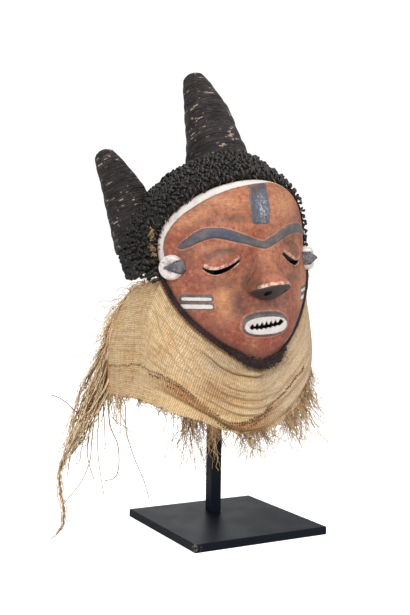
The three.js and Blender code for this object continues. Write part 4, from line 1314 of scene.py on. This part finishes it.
roll_x = np.linspace(ROLL_ACROSS[0], ROLL_ACROSS[-1], 90)
roll_z, roll_r = through(roll_x, ROLL_ACROSS, ROLL_UP), through(roll_x, ROLL_ACROSS, ROLL_RADII)
chin_z = np.maximum(roll_z, np.interp(roll_x, [-60, -42, 0, 42, 60], [-66, -75, -99, -75, -66]))
roll = np.stack([roll_x, smooth_face(roll_x, chin_z) + 0.5 - 0.25 * np.abs(roll_z - chin_z), roll_z], 1)
roll_core = cords("chin_roll", [(roll, roll_r * ROLL_CORE, 0.2)], 16, braid_brown)
around = around_line(16, [0, 1, 0], [0, 0, 1])
points, faces = skin_over([m + r * ROLL_CORE * around for m, r in zip(roll[::3], roll_r[::3])])
chin_knots = turned_out(new_piece("chin_knots", on_stand(points), faces))
combed, sizes = np.tile([1.0, 0, 0.3], (len(points), 1)), np.full(len(points), ROLL_KNOT_SIZE)
knotted(chin_knots, combed, sizes, ROLL_KNOT_SPACING, 3, braid_brown)
lines = []
u = np.linspace(0, 1, 6)[:, None]
for _ in range(CHIN_FIBRES):
    i = chance.integers(0, len(roll))
    turn = luck() * 2 * np.pi
    out = np.array([sway(0, 0.4), math.cos(turn), math.sin(turn)])
    start = roll[i] + roll_r[i] * 0.7 * out
    curl = sway(0, 1.3, 3)
    line = start + out * u * (3.2 + 3 * luck()) + curl * np.sin(3 * u) + [0, 0, -2] * u ** 2
    lines.append((line, 0.3 * (1.2 - 0.8 * u[:, 0]), luck()))
fuzz = cords("chin_fuzz", lines, 3, braid_brown)
for piece in (roll_core, chin_knots, fuzz):
    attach(piece, "root")


# Collar: a rectangle of plain-woven raffia cloth, gathered round the neck from ear to ear and open behind.
# It is pleated under the chin and stitched in brown rows, and its plain hem kicks out below a deep crease.
CLOTH_THICK = 1.3
HEM_HALF_WIDTH = 127
HEM_FORWARD = 100
HEM_BACK = 133
TURNING = 0.64
CLOTH_FLAT = (0.62, 0.17)
CLOTH_STEPS = (330, 120)
CLOTH_FROM = 0.018
WARP_PITCH = 2.9
WEFT_PITCH = 2.7
ROW_U = [0, 0.067, 0.16, 0.215, 0.263, 0.305, 0.34, 0.378, 0.407, 0.44, 0.477, 0.512, 0.563, 0.617, 0.8, 1]
ROW_V = [0.69, 0.69, 0.665, 0.65, 0.62, 0.62, 0.68, 0.75, 0.825, 0.815, 0.745, 0.605, 0.495, 0.46, 0.5, 0.6]
CREASE_U = [0, 0.2, 0.295, 0.342, 0.387, 0.42, 0.448, 0.48, 0.53, 0.6, 0.7, 1]
CREASE_V = [0.86, 0.81, 0.79, 0.795, 0.83, 0.89, 0.92, 0.93, 0.84, 0.7, 0.66, 0.72]
UPPER_U = [0.2, 0.313, 0.337, 0.362, 0.393, 0.427, 0.518, 0.6]
UPPER_V = [0.12, 0.155, 0.17, 0.2, 0.205, 0.18, 0.135, 0.12]
HEM_U = [0, 0.13, 0.168, 0.237, 0.278, 0.322, 0.363, 0.402, 0.443, 0.5, 0.563, 0.6, 0.653, 0.75, 1]
HEM_V = [0.98, 0.96, 0.95, 0.975, 0.985, 0.965, 0.935, 0.95, 0.98, 0.985, 0.9, 0.86, 0.77, 0.8, 0.9]
CHIN_U = 0.44
CHIN_FOLDS = [(0.28, 0.028, 2.0), (0.43, 0.03, 3.0), (0.58, 0.03, 2.8), (0.72, 0.026, 2.2)]
CHEEK_FOLDS = [(0.17, 0.33, 1.6), (0.22, 0.36, 2.2), (0.27, 0.385, 2.0)]
STITCH_HALF = 0.009
STITCH_ROWS = [(0.0, 0.0056, 0.03, 0.66), (0.036, 0.0056, 0.22, 0.52), (0.09, 0.007, 0.27, 0.5)]


def part_of_wrap(u):
    """A place's side, how far round to the turning it is, and how far behind it."""
    s = np.abs(u - 0.5) * 2
    return np.where(u < 0.5, -1, 1), np.clip(s / TURNING, 0, 1), np.clip((s - TURNING) / (1 - TURNING), 0, 1)


def collar_top(u):
    side, round_neck, t = part_of_wrap(u)
    front = jaw_place(np.clip(0.5 + side * round_neck / 2, 0, 1), 3.5, 2 * CORD_RADIUS + 2)
    across, forward, up = np.moveaxis(front, -1, 0)
    back = np.stack([mix(across, side * 112, t), mix(forward, -56, t), mix(up, 2, t ** 1.3)], -1)
    return np.where((t == 0)[..., None], front, back)


def collar_hem(u):
    side, round_neck, t = part_of_wrap(u)
    turn = round_neck * math.pi / 2
    drop = mix(-193, -151, smooth(round_neck, 0.12, 0.85))
    front = np.stack([side * HEM_HALF_WIDTH * np.sin(turn), HEM_FORWARD * np.cos(turn), drop], -1)
    back = np.stack([side * HEM_HALF_WIDTH + 0 * t, mix(0, -HEM_BACK, t), mix(-151, -154, t)], -1)
    return np.where((t == 0)[..., None], front, back)


def tuck(v, at, wide):
    """A fold's section: the cloth swells above the crease and sinks under it."""
    x = (v - at) / wide
    return -x * np.exp(0.5 - x * x / 2)


def ramp(u, low, full, ease_off, high):
    """1 between two places along the cloth, and less beyond them."""
    return smooth(u, low, full) * smooth(-u, -high, -ease_off)


def rows_at(u):
    """How far down the stitched row, the crease and the upper fold run."""
    return through(u, ROW_U, ROW_V), through(u, CREASE_U, CREASE_V), through(u, UPPER_U, UPPER_V)


def folds(u, v):
    """How far the folds lift the cloth, in millimetres."""
    row, crease, upper = rows_at(u)
    chin = bell((u - CHIN_U) / 0.085)
    lift = 4.6 * tuck(v, upper, 0.034) * ramp(u, 0.27, 0.34, 0.5, 0.57)
    lift += 5.6 * tuck(v, crease, 0.038) * ramp(u, 0.22, 0.36, 0.5, 0.62)
    for share, wide, depth in CHIN_FOLDS:
        lift += depth * tuck(v, mix(upper, crease, share), wide) * chin
    pleats = np.sin(2 * np.pi * (v - 0.55 * row) / 0.058 + 3 * np.sin(u * 21))
    lift += 0.9 * pleats * (chin + 0.35 * ramp(u, 0.5, 0.56, 0.62, 0.75)) * smooth(v, 0.06, 0.16)
    lift += 1.5 * np.sin(2 * np.pi * (v - row) / 0.15) * ramp(u, 0.48, 0.56, 0.64, 0.74) * smooth(v, 0.1, 0.3)
    lift += 1.5 * bell((u - 0.298 - 0.05 * v) / 0.006) * ramp(v, 0.1, 0.2, 0.35, 0.5)
    lift -= 0.9 * bell((v - 0.9) / 0.012) * smooth(-u, -0.22, -0.16)
    for from_u, to_u, depth in CHEEK_FOLDS:
        along = np.clip((u - from_u) / (to_u - from_u), 0, 1)
        lift += depth * tuck(v, 0.12 + 0.42 * along, 0.03) * np.sin(math.pi * along) ** 0.6
    return lift + 1.6 * np.sin(u * 37 + 2 * v) * np.sin(v * 6 + u * 9) * smooth(v, 0.05, 0.3)


def collar_surface(u, v, raised=0.0):
    """A place on the cloth, out from its middle layer by a distance."""
    v = v * through(u, HEM_U, HEM_V)
    top, hem = collar_top(u), collar_hem(u)
    out = np.stack([hem[..., 0] / HEM_HALF_WIDTH, np.maximum(0, hem[..., 1]) / HEM_FORWARD, 0 * v], -1)
    lift = 13 * np.sin(math.pi * v) + 5 * smooth(v, 0.8, 1) + folds(u, v) + raised
    point = mix(top, hem, v[..., None]) + out * lift[..., None]
    behind = smooth(np.abs(u - 0.5) * 2, TURNING, 1)
    point[..., 1] -= 28 * behind * np.sin(math.pi * np.clip(v, 0, 1) ** 0.8)
    return point


def cloth_at(u, v):
    return collar_surface(np.array([u]), np.array([v]))[0]


columns, rows = CLOTH_STEPS
u, v = np.meshgrid(np.linspace(CLOTH_FROM, 1, columns + 1), np.linspace(0, 1, rows + 1), indexing="ij")
at_ends = (u < CLOTH_FROM + 0.01) | (u > 0.99)
u_cloth = np.clip(u + (0.0035 * np.sin(v * 90) + 0.003 * np.sin(v * 37)) * at_ends, 0, 1)
v_cloth = np.clip(v * (1 + 0.006 * np.sin(u * 410) + 0.008 * np.sin(u * 143 + 1)), 0, 1)
index = np.arange(u.size).reshape(u.shape)
outer = np.stack([index[:-1, :-1], index[1:, :-1], index[1:, 1:], index[:-1, 1:]], -1).reshape(-1, 4)
rim = np.concatenate([index[:, 0], index[-1, 1:], index[-2::-1, -1], index[0, -2:0:-1]])
following = np.roll(rim, -1)
faces = outer.tolist() + (outer[:, ::-1] + u.size).tolist()
faces += np.stack([rim, rim + u.size, following + u.size, following], -1).tolist()
layers = [collar_surface(u_cloth, v_cloth, side * CLOTH_THICK / 2).reshape(-1, 3) for side in (1, -1)]
collar = new_piece("collar_cloth", on_stand(np.concatenate(layers)), faces)
uv = collar.data.uv_layers.new(name="threads")
corners = np.empty(len(collar.data.loops), np.int32)
collar.data.loops.foreach_get("vertex_index", corners)
sheet_u, sheet_v = (np.tile(part.ravel(), 2) for part in (u_cloth, v_cloth * through(u_cloth, HEM_U, HEM_V)))
millimetres = np.stack([sheet_u * CLOTH_FLAT[0], sheet_v * CLOTH_FLAT[1]], 1) * 1000
uv.data.foreach_set("uv", millimetres[corners].ravel().astype(np.float32))
row, crease, upper = rows_at(sheet_u)
banded = smooth(sheet_v - row, -0.02, 0.03) * smooth(crease - sheet_v, -0.02, 0.02)
front = ramp(sheet_u, 0.2, 0.32, 0.46, 0.58)
brown = 0.75 * banded * front + 0.6 * bell((sheet_u - 0.37) / 0.035, (sheet_v - 0.5) / 0.13)
pale = 0.75 * bell((sheet_u - 0.36) / 0.05, (sheet_v - 0.22) / 0.13) + 0.6 * smooth(sheet_u, 0.44, 0.5)
# Painted shade: dark lines along the creases of the folds.
crease_shade = 0.9 * bell((sheet_v - upper - 0.016) / 0.009) * ramp(sheet_u, 0.3, 0.36, 0.48, 0.54)
crease_shade += 0.85 * bell((sheet_v - crease - 0.016) / 0.011) * ramp(sheet_u, 0.3, 0.4, 0.48, 0.54)
for share, _, _ in CHIN_FOLDS:
    line = bell((sheet_v - mix(upper, crease, share) - 0.012) / 0.007)
    crease_shade += 0.6 * line * bell((sheet_u - CHIN_U) / 0.06)
mark_points(
    collar, brown=np.clip(brown, 0, 1), pale=np.clip(pale, 0, 0.85), crease=np.clip(crease_shade, 0, 0.9),
    plain=smooth(sheet_v - crease, 0.0, 0.03) * front, spotted=smooth(-sheet_u, -0.3, -0.22),
)

woven = Finish("woven_raffia_cloth", 0.85, specular=0.1)
woven.spot = woven.node("ShaderNodeUVMap", uv_map="threads")
waver = woven.node("ShaderNodeTexNoise", {"Vector": woven.spot, "Scale": 0.02, "Detail": 3.0}, "Color")
bent = {0: waver, 1: (3.0, 3.0, 0.0), 2: woven.spot}
bent = woven.node("ShaderNodeVectorMath", bent, operation="MULTIPLY_ADD")
across, up = woven.node("ShaderNodeSeparateXYZ", {"Vector": bent}).node.outputs[:2]
warp, weft = woven.worked("DIVIDE", across, WARP_PITCH), woven.worked("DIVIDE", up, WEFT_PITCH)
warp_count, weft_count = woven.worked("FLOOR", warp), woven.worked("FLOOR", weft)


def own_value(count):
    """A random value for each counted thread."""
    return woven.node("ShaderNodeTexWhiteNoise", {"W": count}, noise_dimensions="1D")


def rounded(thread):
    """How high each thread's round back stands."""
    return woven.worked("ABSOLUTE", woven.worked("SINE", woven.times(thread, math.pi)))


both = woven.worked("ADD", warp_count, weft_count)
over = woven.worked("ROUND", woven.worked("FRACT", woven.times(both, 0.5)))
warp_up = woven.times(rounded(warp), woven.times(over, 0.55, 0.45))
weft_up = woven.times(rounded(weft), woven.times(over, -0.55, 1.0))
weave = woven.worked("MAXIMUM", warp_up, weft_up)
# Painted shade: the low places between the threads are darkened.
gap_shade = woven.ease(weave, 0.35, 0.8, 1, 0)
slub_up = woven.noise(1.0, 2.0, 0.6, (0.34, 0.035, 1.0))
slub_across = woven.noise(1.0, 2.0, 0.6, (0.03, 0.36, 1.0))
broken = woven.ease(woven.noise(0.06, 3.0, 0.6), 0.42, 0.6)
thick_weft = woven.ease(own_value(woven.worked("FLOOR", woven.times(weft, 0.55))), 0.6, 0.85, 0, 0.3)
crossing = {"Vector": woven.node("ShaderNodeCombineXYZ", {0: warp_count, 1: weft_count})}
crossing = woven.node("ShaderNodeTexWhiteNoise", crossing, noise_dimensions="2D")
spotted = woven.ease(woven.noise(0.16, 2.0, 0.5), 0.68, 0.74, 0, 0.6)
colour = woven.coats(
    (244, 200, 144),
    ((255, 224, 176), woven.noise(0.03, 5.0, 0.6), 0.3, 0.7),
    ((176, 130, 82), woven.times(own_value(warp_count), 0.2)),
    ((255, 240, 208), woven.times(own_value(woven.worked("ADD", weft_count, 0.5)), 0.2)),
    ((172, 126, 78), slub_up, 0.5, 0.72, 0, 0.4),
    ((164, 120, 74), slub_across, 0.5, 0.72, 0, 0.45),
    ((255, 238, 204), slub_across, 0.3, 0.48, 0.5, 0),
    ((216, 194, 166), woven.told("pale")),
    ((194, 138, 84), woven.told("brown")),
    ((255, 222, 170), woven.told("plain")),
    ((150, 112, 72), woven.times(thick_weft, broken)),
    ((140, 102, 62), crossing, 0.6, 1.0, 0, 0.25),
    ((252, 230, 192), crossing, 0.0, 0.3, 0.25, 0),
    # Painted shade between the threads, deeper in the brown band.
    ((112, 78, 46), woven.times(gap_shade, 0.6)),
    ((72, 44, 24), woven.times(woven.times(gap_shade, woven.told("brown")), 0.9)),
    # Painted shade in the creases.
    ((92, 66, 42), woven.told("crease")),
    ((110, 78, 48), woven.times(spotted, woven.told("spotted"))),
)
woven.lay(colour, weave, 0.0007, 0.9)
woven.dress(collar)
collar.data.shade_smooth()
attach(collar, "root")
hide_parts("collar")

stitch_brown = Finish("brown_stitches", 0.8, sheen=0.1, specular=0.15)
colour = stitch_brown.coats(
    (70, 44, 26),
    ((138, 96, 58), stitch_brown.told("shade")),
    ((184, 146, 98), stitch_brown.noise(60), 0.45, 0.65, 0, 0.6),
)
stitch_brown.lay(colour, stitch_brown.noise(1300), 0.0003, 0.7)

lines = []
for offset, pitch, from_u, to_u in STITCH_ROWS:
    for u in np.arange(STITCH_ROWS[0][2], STITCH_ROWS[0][3], pitch):
        if offset and not from_u < u < to_u:
            continue
        v = through(u, ROW_U, ROW_V) + offset + 0.004 * sway()
        run = v + np.array([-1, 0, 1]) * STITCH_HALF
        wander = u + np.array([-1, 0, 1]) * 0.0012 * sway()
        line = collar_surface(wander, run / through(wander, HEM_U, HEM_V), CLOTH_THICK / 2 + 0.3)
        lines.append((line, 0.6 + (0.25 + 0.3 * luck()) * smooth(u, 0.2, 0.3), luck()))
stitches = cords("collar_stitches", lines, 4, stitch_brown)
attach(stitches, "root")


# Loose raffia: the unravelled warp below the hem, the frayed top and back edges, and the long right hank.
# The fibres are dry and crinkled, and many of the longest still hang in locks.
FRINGE_FIBRES = 900
IN_LOCKS = 0.45
TOP_FIBRES = 260
BACK_FIBRES = 200
RAGGED_FIBRES = 130
EDGE_FIBRES = 330
EDGE_THICK = 0.42
FRINGE_U = [0, 0.1, 0.2, 0.27, 0.3, 0.33, 0.345, 0.36, 0.38, 0.4, 0.44, 0.47, 0.5, 0.54, 0.6, 0.66, 0.75, 1]
FRINGE_LONG = [20, 17, 13, 17, 36, 64, 56, 26, 44, 26, 22, 36, 26, 30, 48, 56, 32, 26]
LOCKS_U = [0.33, 0.345, 0.385, 0.455, 0.475, 0.5, 0.58, 0.62, 0.65]
FIBRE_REACH = ((-0.252, -0.13), (0.168, 0.196))
HANK = [
    (-119, 178, 268), (-121, 178, 225), (-131, 170, 183), (-148, 160, 144), (-164, 152, 112),
    (-176, 150, 90), (-187, 148, 68), (-191, 142, 50), (-190, 138, 32), (-188, 132, 14),
    (-190, 126, 4), (-206, 84, 3.5), (-231, 40, 3), (-252, 22, 2.5),
]
HANK_SPREAD = [9, 12, 16, 15, 9, 5, 3, 3, 3.5, 3, 2.5, 2, 2, 1]
HANK_STRANDS = 150
HANK_LONGEST = 13
SHORT_STRANDS = 30
STRAYS = [
    [(-131, 170, 150), (-150, 152, 110), (-171, 150, 85), (-174, 150, 71), (-176, 150, 57)],
    [(-128, 165, 160), (-142, 152, 120), (-146, 150, 92), (-143, 150, 70), (-135, 150, 47)],
    [(-124, 168, 170), (-128, 152, 145), (-130, 150, 101), (-127, 150, 67), (-119, 150, 22)],
    [(-118, 165, 175), (-119, 152, 132), (-118, 150, 89)],
    [(-110, 160, 176), (-111, 150, 127), (-98, 150, 95), (-96, 150, 62), (-103, 150, 46), (-119, 150, 43)],
    [(-130, 160, 150), (-139, 150, 105), (-142, 150, 74), (-155, 150, 45), (-179, 150, 18)],
    [(-150, 160, 140), (-167, 150, 150), (-176, 150, 159), (-190, 150, 169), (-203, 150, 174)],
    [
        (-116, 70, 215), (-108, 128, 186), (-96, 130, 156), (-94, 130, 120), (-82, 130, 82), (-65, 130, 44),
        (-55, 130, 14),
    ],
]

loose_raffia = Finish("loose_raffia_fibre", 0.75, sheen=0.1, specular=0.25)
shade = loose_raffia.told("shade")
colour = loose_raffia.coats(
    (88, 64, 44),
    ((204, 166, 120), shade, 0, 0.4),
    ((255, 230, 192), shade, 0.35, 0.9),
    ((128, 104, 86), loose_raffia.noise(90, 4.0), 0.5, 0.75, 0, 0.4),
)
loose_raffia.lay(colour, loose_raffia.noise(1300), 0.0003, 0.7)


def crinkled(start, way, length, steps, crinkle, droop):
    """A dry fibre: a start, a direction and a length, with kinks all along it and a bend downwards."""
    t = np.linspace(0, 1, steps)
    line = start + np.outer(t, way) * length
    line[:, 2] -= droop * length * t ** 2
    for _ in range(2):
        across = sway(0, 1, 3)
        waves = length / 9 * (0.7 + 0.6 * luck())
        bend = np.sin(t * waves * np.pi + 6 * luck()) * smooth(t, 0, 0.25)
        line += np.outer(bend, across * crinkle)
    return line


def drawn_in(lines):
    """Lines drawn back towards their roots where they would stand far out at the collar's sides or back."""
    low, high = np.array(FIBRE_REACH)
    drawn = []
    for line, thick, shade in lines:
        places = on_stand(line)[:, :2]
        root = places[0]
        out = max(
            np.max((places - root) / np.maximum(high - root, 0.001)),
            np.max((root - places) / np.maximum(root - low, 0.001)),
        )
        drawn.append((line[0] + (line - line[0]) / max(1, out), thick, shade))
    return drawn


def thinning(steps, last=0.6):
    """How a fibre's thickness falls from its root to its tip."""
    return np.linspace(1.1, last, steps)


lines = []
for _ in range(FRINGE_FIBRES):
    u = luck()
    if luck() < IN_LOCKS:
        u = chance.choice(LOCKS_U) + 0.008 * sway()
    length = np.interp(u, FRINGE_U, FRINGE_LONG) * (0.2 + 1.15 * luck() ** 1.8)
    start = cloth_at(u, 0.97 + 0.02 * luck())
    out = start * [1, 1, 0] / max(np.linalg.norm(start[:2]), 1)
    way = out * (0.15 + 0.3 * sway()) + [0.36 * sway(), 0.36 * sway(), -1]
    line = crinkled(start, way, length, 11, 1.7, 0.05)
    thick = 0.3 + 0.3 * luck()
    dark = 1 - 0.5 * bell((u - 0.36) / 0.06)
    lines.append((line, thick * thinning(11), 0.75 * dark * luck()))
for _ in range(TOP_FIBRES):
    u = chance.choice([between(0.0, 0.19), between(0.8, 1.0)])
    start = cloth_at(max(u, CLOTH_FROM), 0.0)
    way = [0.5 * np.sign(u - 0.5) + 0.5 * sway(), 0.5 * sway(), 0.7 + 0.4 * luck()]
    line = crinkled(start, way, 4 + 15 * luck() ** 2, 8, 1.8, 0.9)
    lines.append((line, 0.4, 0.35 + 0.6 * luck()))
for _ in range(BACK_FIBRES):
    v = luck()
    way = [0.3 * sway(), -1 - 0.4 * luck(), -0.6 + 0.5 * sway()]
    line = crinkled(cloth_at(1.0, v), way, 6 + 22 * luck() * (0.3 + v), 8, 1.0, 0.6)
    lines.append((line, EDGE_THICK, luck()))
for _ in range(RAGGED_FIBRES):
    start = cloth_at(between(0.56, 0.67), between(0.86, 1.0))
    way = start * [0.6, 0.6, 0] / 130 + [0.3 * sway(), 0.3 * sway(), -1]
    line = crinkled(start + start * [0.01, 0.01, 0], way, 8 + 24 * luck(), 9, 1.6, 0.1)
    lines.append((line, EDGE_THICK * thinning(9), 0.1 + 0.5 * luck()))
fringe = cords("hem_fringe_fibres", drawn_in(lines), 3, loose_raffia)
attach(fringe, "root")
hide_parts("hem_fringe")


def route_of(points, t):
    """Places along a smooth line through some points, from its first (0) to its last (1)."""
    points = np.asarray(points, float)
    return np.stack([through(t, np.linspace(0, 1, len(points)), points[:, i]) for i in range(3)], 1)


def on_mask(points):
    """Points on the stand, in millimetres, as points of the mask."""
    across, back, up = (np.asarray(points, float) - MASK_FOOT).T
    turn, lift = math.cos(MASK_LEAN), math.sin(MASK_LEAN)
    return np.stack([across * turn + up * lift, -back, up * turn - across * lift], 1)


# The hank's strands follow one middle line, and most leave it along the way.
lines = []
for i in range(HANK_STRANDS):
    v = luck() ** 0.8
    root = on_stand([cloth_at(CLOTH_FROM + 0.02 * luck(), v)])[0] * 1000
    begins = float(np.interp(-root[2], [-268, -225, -183, -144], [0, 1, 2, 3])) / (len(HANK) - 1)
    ends = between(0.14, 0.46) if i >= HANK_LONGEST else between(0.75, 1.0)
    t = np.linspace(begins, max(ends, begins + 0.08), 26)
    middle = route_of(HANK, t)
    spread = through(t, np.linspace(0, 1, len(HANK)), HANK_SPREAD)
    line = middle + np.outer(spread, sway(0, 0.62, 3) * [1, 1, 0.6])
    share = smooth(t - begins, 0, 0.16)[:, None]
    line = mix(root + (middle - middle[0]), line, share)
    line += np.outer(np.sin(t * between(45, 90) + 6 * luck()), sway(0, 1.5, 3)) * share
    if i >= HANK_LONGEST:
        line += np.outer(smooth(t - begins, 0.05, 0.4) ** 2, sway(0, 1, 3) * [11, 9, 6])
    line[:, 2] = np.maximum(line[:, 2], 1.0)
    thick = between(0.42, 0.7) if luck() < 0.6 else between(0.8, 1.25)
    shade = chance.choice([0.12, 0.62, 0.92]) + 0.08 * luck()
    lines.append((on_mask(line), thick * thinning(26), shade))
t = np.linspace(0, 1, 20)
for _ in range(SHORT_STRANDS):
    start = cloth_at(CLOTH_FROM + 0.075 * luck(), 0.96)
    length = 18 + 80 * luck() ** 2
    line = start + np.outer(t * length, [0.22 * sway(), 0.2 * sway(), -1])
    line += np.outer(np.sin(t * between(2, 6)) * length * 0.06, sway(0, 1, 3))
    lines.append((line, (0.5 + 0.25 * luck()) * thinning(20), luck()))
for stray in STRAYS:
    line = on_mask(route_of(stray, np.linspace(0, 1, 40)))
    lines.append((line, 0.95 * thinning(40, 0.75), 0.05 + 0.3 * luck()))
for _ in range(EDGE_FIBRES):
    start = cloth_at(CLOTH_FROM + 0.004, luck())
    way = [-0.55 + 0.35 * sway(), -0.3 + 0.4 * sway(), -0.4 + 0.55 * sway()]
    line = crinkled(start, way, 8 + 22 * luck() ** 2, 8, 1.5, 0.5)
    lines.append((line, EDGE_THICK, 0.3 + 0.7 * luck()))
hank = cords("side_hank_fibres", drawn_in(lines), 3, loose_raffia)
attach(hank, "root")
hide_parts("side_hank")
